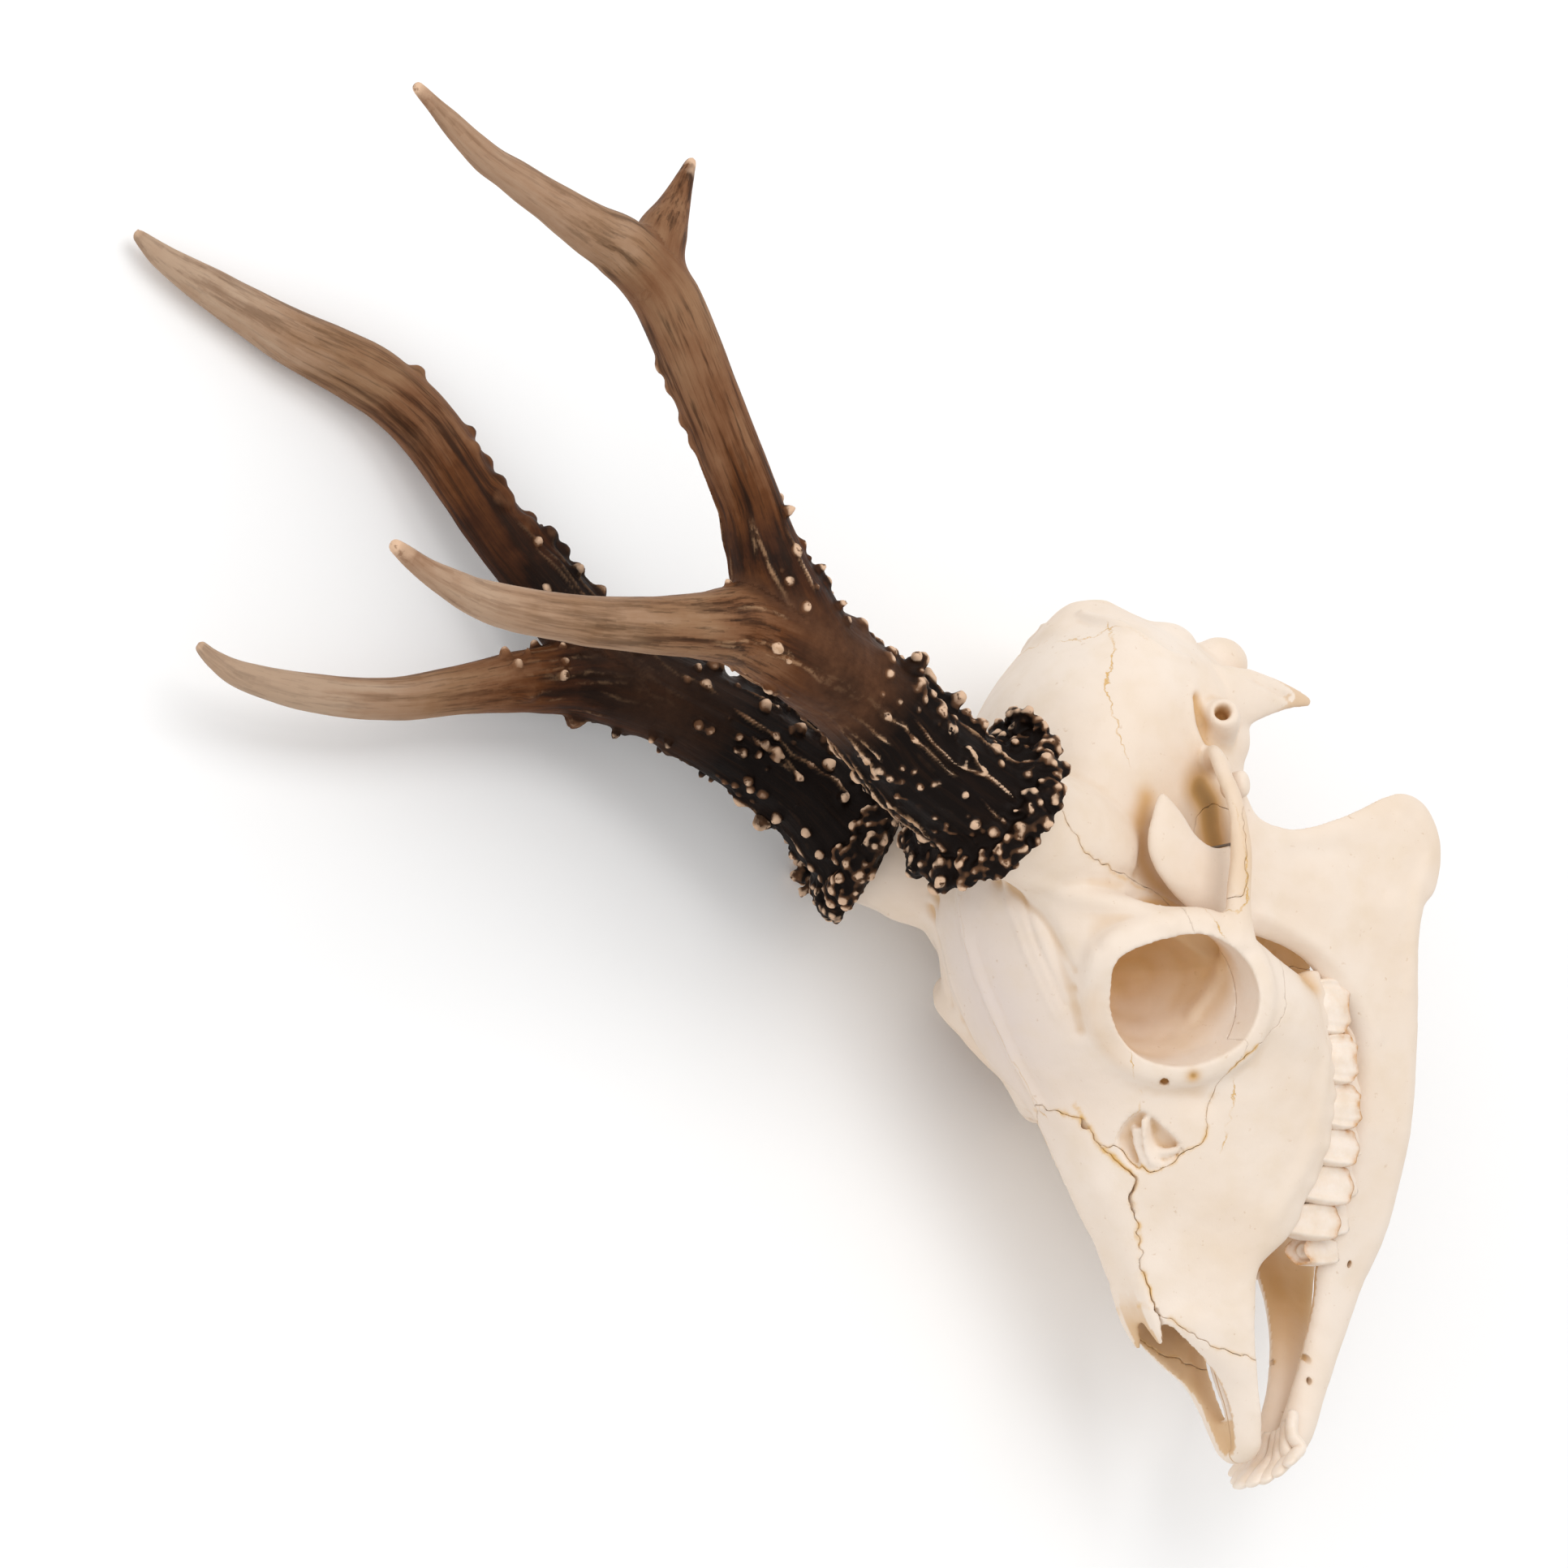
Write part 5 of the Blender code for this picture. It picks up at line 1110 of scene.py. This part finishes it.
def follow(points, horns, side):
    """What each point is to the nearest horn: how far up, where across (two numbers), the horn's radius
    there, the share of its length, how far outside it, and how near the web of a fork."""
    best, second = np.full(len(points), np.inf), np.full(len(points), np.inf)
    found, shares = np.zeros((4, len(points))), []
    trunk = smooth_rows(horns["beam"], 8)
    trunk_steps = lengths_along(trunk[:, :3])
    for name, rows in horns.items():
        line = smooth_rows(rows, 8)
        start = trunk_steps[np.argmin(np.linalg.norm(trunk[:, :3] - line[0, :3], axis=1))]
        line[:, 0] *= side
        steps = start + lengths_along(line[:, :3])
        ways = np.gradient(line[:, :3], axis=0)
        ways /= np.linalg.norm(ways, axis=1)[:, None]
        across, front = axes_along(ways, (1, 0, 0))
        nearest, gap = np.zeros(len(points), int), np.full(len(points), np.inf)
        for i in range(len(line)):
            far = ((points - line[i, :3]) ** 2).sum(1)
            closer = far < gap
            nearest[closer], gap[closer] = i, far[closer]
        out = points - line[nearest, :3]
        u, v = (out * across[nearest]).sum(1), (out * front[nearest]).sum(1)
        up = steps[nearest] + (out * ways[nearest]).sum(1)
        whole = start + PALE_AFTER[name] * (steps[-1] - start)
        reach = np.sqrt(gap) - line[nearest, 3]
        closer = reach < best
        second = np.where(closer, best, np.minimum(second, reach))
        best = np.where(closer, reach, best)
        found[:, closer] = np.stack([up, u, v, line[nearest, 3]])[:, closer]
        shares.append((reach, np.clip(up / whole, 0, 1)))
    weights = [np.exp((best - reach) / 2.5) for reach, share in shares]
    share = sum(weight * pair[1] for weight, pair in zip(weights, shares)) / sum(weights)
    return (*found, share, best, np.clip(1.15 - (second - best) / 4, 0, 1))


VEINS = 56


def veins(angle, radius, up, seed):
    """Long thin wavy ridges up the beam, from 0 to 1."""
    random = np.random.default_rng(seed)
    ridges, knots = np.zeros(len(up)), np.arange(-20, 300, 4.0)
    starts, lengths = random.uniform(2, 95, VEINS), random.uniform(12, 40, VEINS)
    for start, length, turn in zip(starts, lengths, random.uniform(-np.pi, np.pi, VEINS)):
        path = turn + 0.06 * random.standard_normal(len(knots)).cumsum()
        gap = np.angle(np.exp(1j * (angle - np.interp(up, knots, path)))) * radius
        ends = np.clip((up - start) / 4, 0, 1) * np.clip((start + length - up) / 8, 0, 1)
        ridges = np.maximum(ridges, ends * np.exp(-(gap / 0.55) ** 2))
    return ridges


def soften(obj, weights, times):
    """Smooths the skin, most where the weights are near 1."""
    group = obj.vertex_groups.new(name="web")
    level = np.round(weights * 10).astype(int)
    for step in range(1, 11):
        group.add(np.flatnonzero(level == step).tolist(), step / 10, "REPLACE")
    tool = obj.modifiers.new("web", "SMOOTH")
    tool.factor, tool.iterations, tool.vertex_group = 0.5, times, "web"
    apply_modifiers(obj)


def pearl_tree():
    """Geometry nodes that scatter pearls of random size over a skin, as densely as its layer says."""
    tree = bpy.data.node_groups.new("pearls", "GeometryNodeTree")
    for name, kind in (
            ("Geometry", "Geometry"), ("Layer", "String"), ("Density", "Float"), ("Smallest", "Float"),
            ("Largest", "Float"), ("Stretch", "Float"), ("Seed", "Int"), ("Material", "Material")):
        tree.interface.new_socket(name, in_out="INPUT", socket_type="NodeSocket" + kind)
    tree.interface.new_socket("Geometry", in_out="OUTPUT", socket_type="NodeSocketGeometry")
    new = tree.nodes.new
    given, result = new("NodeGroupInput"), new("NodeGroupOutput")
    allowed = new("GeometryNodeInputNamedAttribute")
    allowed.data_type = "FLOAT"
    amount = new("ShaderNodeMath")
    amount.operation = "MULTIPLY"
    scatter = new("GeometryNodeDistributePointsOnFaces")
    pearl = new("GeometryNodeMeshIcoSphere")
    pearl.inputs["Radius"].default_value = 1.0
    pearl.inputs["Subdivisions"].default_value = 2
    size = new("FunctionNodeRandomValue")
    size.data_type = "FLOAT"
    tall = new("ShaderNodeMath")
    tall.operation = "MULTIPLY"
    shape = new("ShaderNodeCombineXYZ")
    put = new("GeometryNodeInstanceOnPoints")
    real = new("GeometryNodeRealizeInstances")
    dress = new("GeometryNodeSetMaterial")
    for output, socket in (
            (given.outputs["Layer"], allowed.inputs["Name"]), (allowed.outputs[0], amount.inputs[0]),
            (given.outputs["Density"], amount.inputs[1]),
            (given.outputs["Geometry"], scatter.inputs["Mesh"]),
            (amount.outputs[0], scatter.inputs["Density"]), (given.outputs["Seed"], scatter.inputs["Seed"]),
            (given.outputs["Smallest"], size.inputs[2]), (given.outputs["Largest"], size.inputs[3]),
            (given.outputs["Seed"], size.inputs["Seed"]), (size.outputs[1], tall.inputs[0]),
            (given.outputs["Stretch"], tall.inputs[1]), (size.outputs[1], shape.inputs["X"]),
            (size.outputs[1], shape.inputs["Y"]), (tall.outputs[0], shape.inputs["Z"]),
            (scatter.outputs["Points"], put.inputs["Points"]),
            (scatter.outputs["Rotation"], put.inputs["Rotation"]),
            (pearl.outputs["Mesh"], put.inputs["Instance"]), (shape.outputs[0], put.inputs["Scale"]),
            (put.outputs["Instances"], real.inputs["Geometry"]),
            (real.outputs["Geometry"], dress.inputs["Geometry"]),
            (given.outputs["Material"], dress.inputs["Material"]),
            (dress.outputs["Geometry"], result.inputs[0])):
        tree.links.new(output, socket)
    return tree


def scatter_pearls(skin, tree, **inputs):
    """The pearls that the tree makes on the skin, as points and faces."""
    grown = copy_of(skin)
    nodes = grown.modifiers.new("pearls", "NODES")
    nodes.node_group = tree
    for item in tree.interface.items_tree:
        if item.in_out == "INPUT" and item.name in inputs:
            nodes[item.identifier] = inputs[item.name]
    apply_modifiers(grown)
    return take_shape(grown)


# Antler is nearly black with bark juice at the foot, streaked brown in the middle and worn to pale tan on the
# tines; pearls and ridges are rubbed pale, and grooves stay dark.
antler_matter = new_material("antler, stained by bark and worn")
place = add_node(antler_matter, "ShaderNodeTexCoord", out="Object")
round_x, round_y, up, worn, streaky, fork, proud, vein = (
    add_node(antler_matter, "ShaderNodeAttribute", {"attribute_name": name}, out="Fac")
    for name in ("round_x", "round_y", "up", "share", "streaky", "fork", "proud", "vein"))
strand = add_node(antler_matter, "ShaderNodeCombineXYZ", X=round_x, Y=round_y, Z=up)
broad = add_node(antler_matter, "ShaderNodeTexNoise", Vector=strand, Scale=0.07, Detail=3.0, Roughness=0.55)
streak = add_node(antler_matter, "ShaderNodeTexNoise", Vector=strand, Scale=0.32, Detail=4.0, Roughness=0.62)
hair = add_node(antler_matter, "ShaderNodeTexNoise", Vector=strand, Scale=1.0, Detail=3.0, Roughness=0.6)
blotch = add_node(antler_matter, "ShaderNodeTexNoise", Vector=place, Scale=70.0, Detail=4.0, Roughness=0.6)
speck = add_node(antler_matter, "ShaderNodeTexNoise", Vector=place, Scale=420.0, Detail=3.0, Roughness=0.6)
for source, weight in ((broad, 0.40), (blotch, 0.34), (streak, 0.44)):
    worn = add_node(antler_matter, "ShaderNodeMath", {"operation": "MULTIPLY_ADD"}, in0=source, in1=weight,
                    in2=worn)
worn = add_node(antler_matter, "ShaderNodeMath", {"operation": "SUBTRACT"}, in0=worn, in1=0.60)
wear = add_node(antler_matter, "ShaderNodeValToRGB", out=None, Fac=worn)
stops = wear.color_ramp.elements
stops[0].position, stops[0].color = 0.16, linear("#140D0A")
stops[1].position, stops[1].color = 1.0, linear("#B59A82")
for position, shade in ((0.26, "#20120B"), (0.36, "#402415"), (0.48, "#60391F"), (0.60, "#7E573C"),
                        (0.74, "#937053"), (0.88, "#A6866C")):
    stop = stops.new(position)
    stop.color = linear(shade)
# Layers of colour, each over the last: what it follows, from and to which value, its share at each end, what
# that is multiplied by, and its colour
web = add_node(antler_matter, "ShaderNodeMix", {"data_type": "RGBA"}, out=2, in0=speck,
               in6=linear("#3A2114"), in7=linear("#6B4730"))
patches = add_node(antler_matter, "ShaderNodeMapRange", Value=blotch, From_Min=0.42, From_Max=0.58)
rubbed = add_node(antler_matter, "ShaderNodeMapRange", Value=speck, From_Min=0.36, From_Max=0.44)
colour = wear.outputs[0]
for follows, low, high, share_low, share_high, mask, shade in (
        (streak, 0.36, 0.48, 0.85, 0.0, streaky, linear("#26170E")),      # dark streaks and hairlines
        (hair, 0.34, 0.47, 0.7, 0.0, streaky, linear("#2A1A10")),
        (blotch, 0.3, 0.55, 0.6, 1.0, fork, web),                         # the matt mottled web of the fork
        (proud, -0.05, -0.4, 0.0, 0.85, 1.0, linear("#150D09")),          # dark grooves
        (proud, 0.12, 0.36, 0.0, 0.5, patches, linear("#8E6446")),        # rubbed ridges
        (proud, 0.36, 0.58, 0.0, 0.95, rubbed, linear("#DDBA9C")),        # pale pearls
        (speck, 0.44, 0.54, 0.1, 1.0, vein, linear("#B08A68"))):
    share = add_node(antler_matter, "ShaderNodeMapRange", Value=follows, From_Min=low, From_Max=high,
                     To_Min=share_low, To_Max=share_high)
    share = add_node(antler_matter, "ShaderNodeMath", {"operation": "MULTIPLY"}, in0=share, in1=mask)
    colour = add_node(antler_matter, "ShaderNodeMix", {"data_type": "RGBA"}, out=2, in0=share, in6=colour,
                      in7=shade)
relief = add_node(antler_matter, "ShaderNodeMath", {"operation": "MULTIPLY_ADD"}, in0=hair, in1=0.4,
                  in2=streak)
bump = add_node(antler_matter, "ShaderNodeBump", Strength=0.6, Distance=0.0005, Height=relief)
roughness = add_node(antler_matter, "ShaderNodeMapRange", Value=streak, From_Min=0.3, From_Max=0.7,
                     To_Min=0.42, To_Max=0.66)
antler_shader = add_node(antler_matter, "ShaderNodeBsdfPrincipled", Base_Color=colour, Normal=bump,
                         Roughness=roughness, Specular_IOR_Level=0.07)
add_node(antler_matter, "ShaderNodeOutputMaterial", out=None, Surface=antler_shader)

pearls = pearl_tree()
for side, where, horns, nodes in (
        (LEFT, "left", LEFT_ANTLER, ("beam", "brow_tine", "upper_beam", "top_tine", "rear_tine")),
        (RIGHT, "right", RIGHT_ANTLER, ("beam", "brow_tine", "upper_beam", "top_tine"))):
    lumps = [horn(rows, side) for rows in horns.values()] + burr(side, 31 + side)
    for name, places in KNOBS[side].items():
        lumps += knobs(horns[name], side, places)
    skin = joined("antler", lumps)
    melt(skin, ANTLER_SKIN_GRAIN, 4)
    up, u, v, radius, share, proud, fork = follow(points_of(skin), horns, side)
    soften(skin, fork, 90)
    up, u, v, radius, share, proud, fork = follow(points_of(skin), horns, side)
    angle = np.arctan2(v, u * side)              # 0 on the outer side, a quarter turn to the front
    bare = np.exp(-((angle - 0.15) / 0.6) ** 2) * np.clip((50 - up) / 15, 0, 1) if side == LEFT else 0
    low_part = np.clip((up - 5) / 6, 0, 1) * np.clip((PEARLED_HEIGHT - up) / 35, 0, 1) * (1 - fork)
    ridges = veins(angle, radius, up, 60 + side)
    ring = np.clip((proud - 1.5) / 1.5, 0, 1) * (up < 16)
    pearly = (0.3 + ridges) * (1 if side == LEFT else 0.4) * low_part * (1 - 0.85 * bare)
    paint(skin, "pearls", pearly + 1.3 * ring)
    spiky = np.exp(-((angle + 1.45) / 0.55) ** 2)
    if side == RIGHT:
        spiky += 0.35 + 0.4 * np.exp(-((np.abs(angle) - 2.6) / 0.5) ** 2)
    spiky *= np.clip((up - 8) / 4, 0, 1) * np.clip((PEARLED_HEIGHT + 35 - up) / 70, 0, 1)
    paint(skin, "spikes", spiky)
    lumps = []
    for layer, density, small, large, stretch, seed in (
            ("pearls", 0.15, 0.5, 1.0, 1.0, 41), ("pearls", 0.05, 1.1, 1.6, 1.0, 42),
            ("spikes", 0.035, 0.9, 1.6, 2.1, 43)):
        lumps.append(scatter_pearls(
            skin, pearls, Layer=layer, Density=density, Smallest=small, Largest=large, Stretch=stretch,
            Seed=seed + side, Material=antler_matter))
    antler = joined(f"antler_{where}_surface", [take_shape(skin), *lumps])
    melt(antler, ANTLER_GRAIN, 1)
    mirror = np.array((side, 1, 1))          # levels its foot
    cut(antler, slab((PEDICLE_TOP - BURR_WAY * 14.9) * mirror, BURR_WAY * mirror, 70, 30))
    up, u, v, radius, share, proud, fork = follow(points_of(antler), horns, side)
    angle = np.arctan2(v, u * side)
    ridges = veins(angle, radius, up, 60 + side)
    around = np.stack([np.cos(angle) * radius, np.sin(angle) * radius, up / 13], -1)
    rough = np.clip(1.35 - share * 2.0, 0.06, 1) * np.clip(1 - fork, 0.15, 1)
    rough *= np.clip(1.6 - proud / 2, 0.2, 1)
    spots = points_of(antler)
    furrows = rough * (0.9 * ridges + 0.45 * wobble(around, 2.2, 54)) + 0.15 * wobble(spots, 6, 53)
    push(antler, furrows + 0.16 * np.clip(proud, 0.2, 1.5) * (up < 100) * wobble(spots, 1.3, 55))
    paint(antler, "round_x", around[:, 0])
    paint(antler, "round_y", around[:, 1])
    paint(antler, "up", up / 14)
    pale = (0, 0.15, 0.56, 0.8, 0.96) if side == LEFT else (0, 0.12, 0.35, 0.76, 1.08)
    paint(antler, "share", np.interp(share, (0, 0.25, 0.5, 0.75, 1), pale))
    paint(antler, "fork", (0.9 if side == LEFT else 0.3) * fork * (up < 115))
    paint(antler, "proud", -sunken(antler, 32) * (1 if side == LEFT else np.interp(up, (16, 28), (1, 0.62))))
    bare = np.exp(-((angle - 0.15) / 0.6) ** 2) * np.clip((50 - up) / 15, 0, 1) if side == LEFT else 0.75
    shown = np.clip((up - 6) / 8, 0, 1) * np.clip((130 - up) / 60, 0, 1) * (1 - 0.85 * bare)
    paint(antler, "vein", 0.9 * np.clip((ridges - 0.5) / 0.4, 0, 1) * shown * np.clip(1 - fork, 0.1, 1))
    streaky = np.interp(share, (0, 0.3, 0.6, 0.8, 1), (0.3, 1, 0.85, 0.4, 0.25))
    paint(antler, "streaky", streaky * np.clip(1 - fork, 0.15, 1))
    finish_piece(antler, antler_matter, [f"antler_{where}_{node}" for node in nodes])
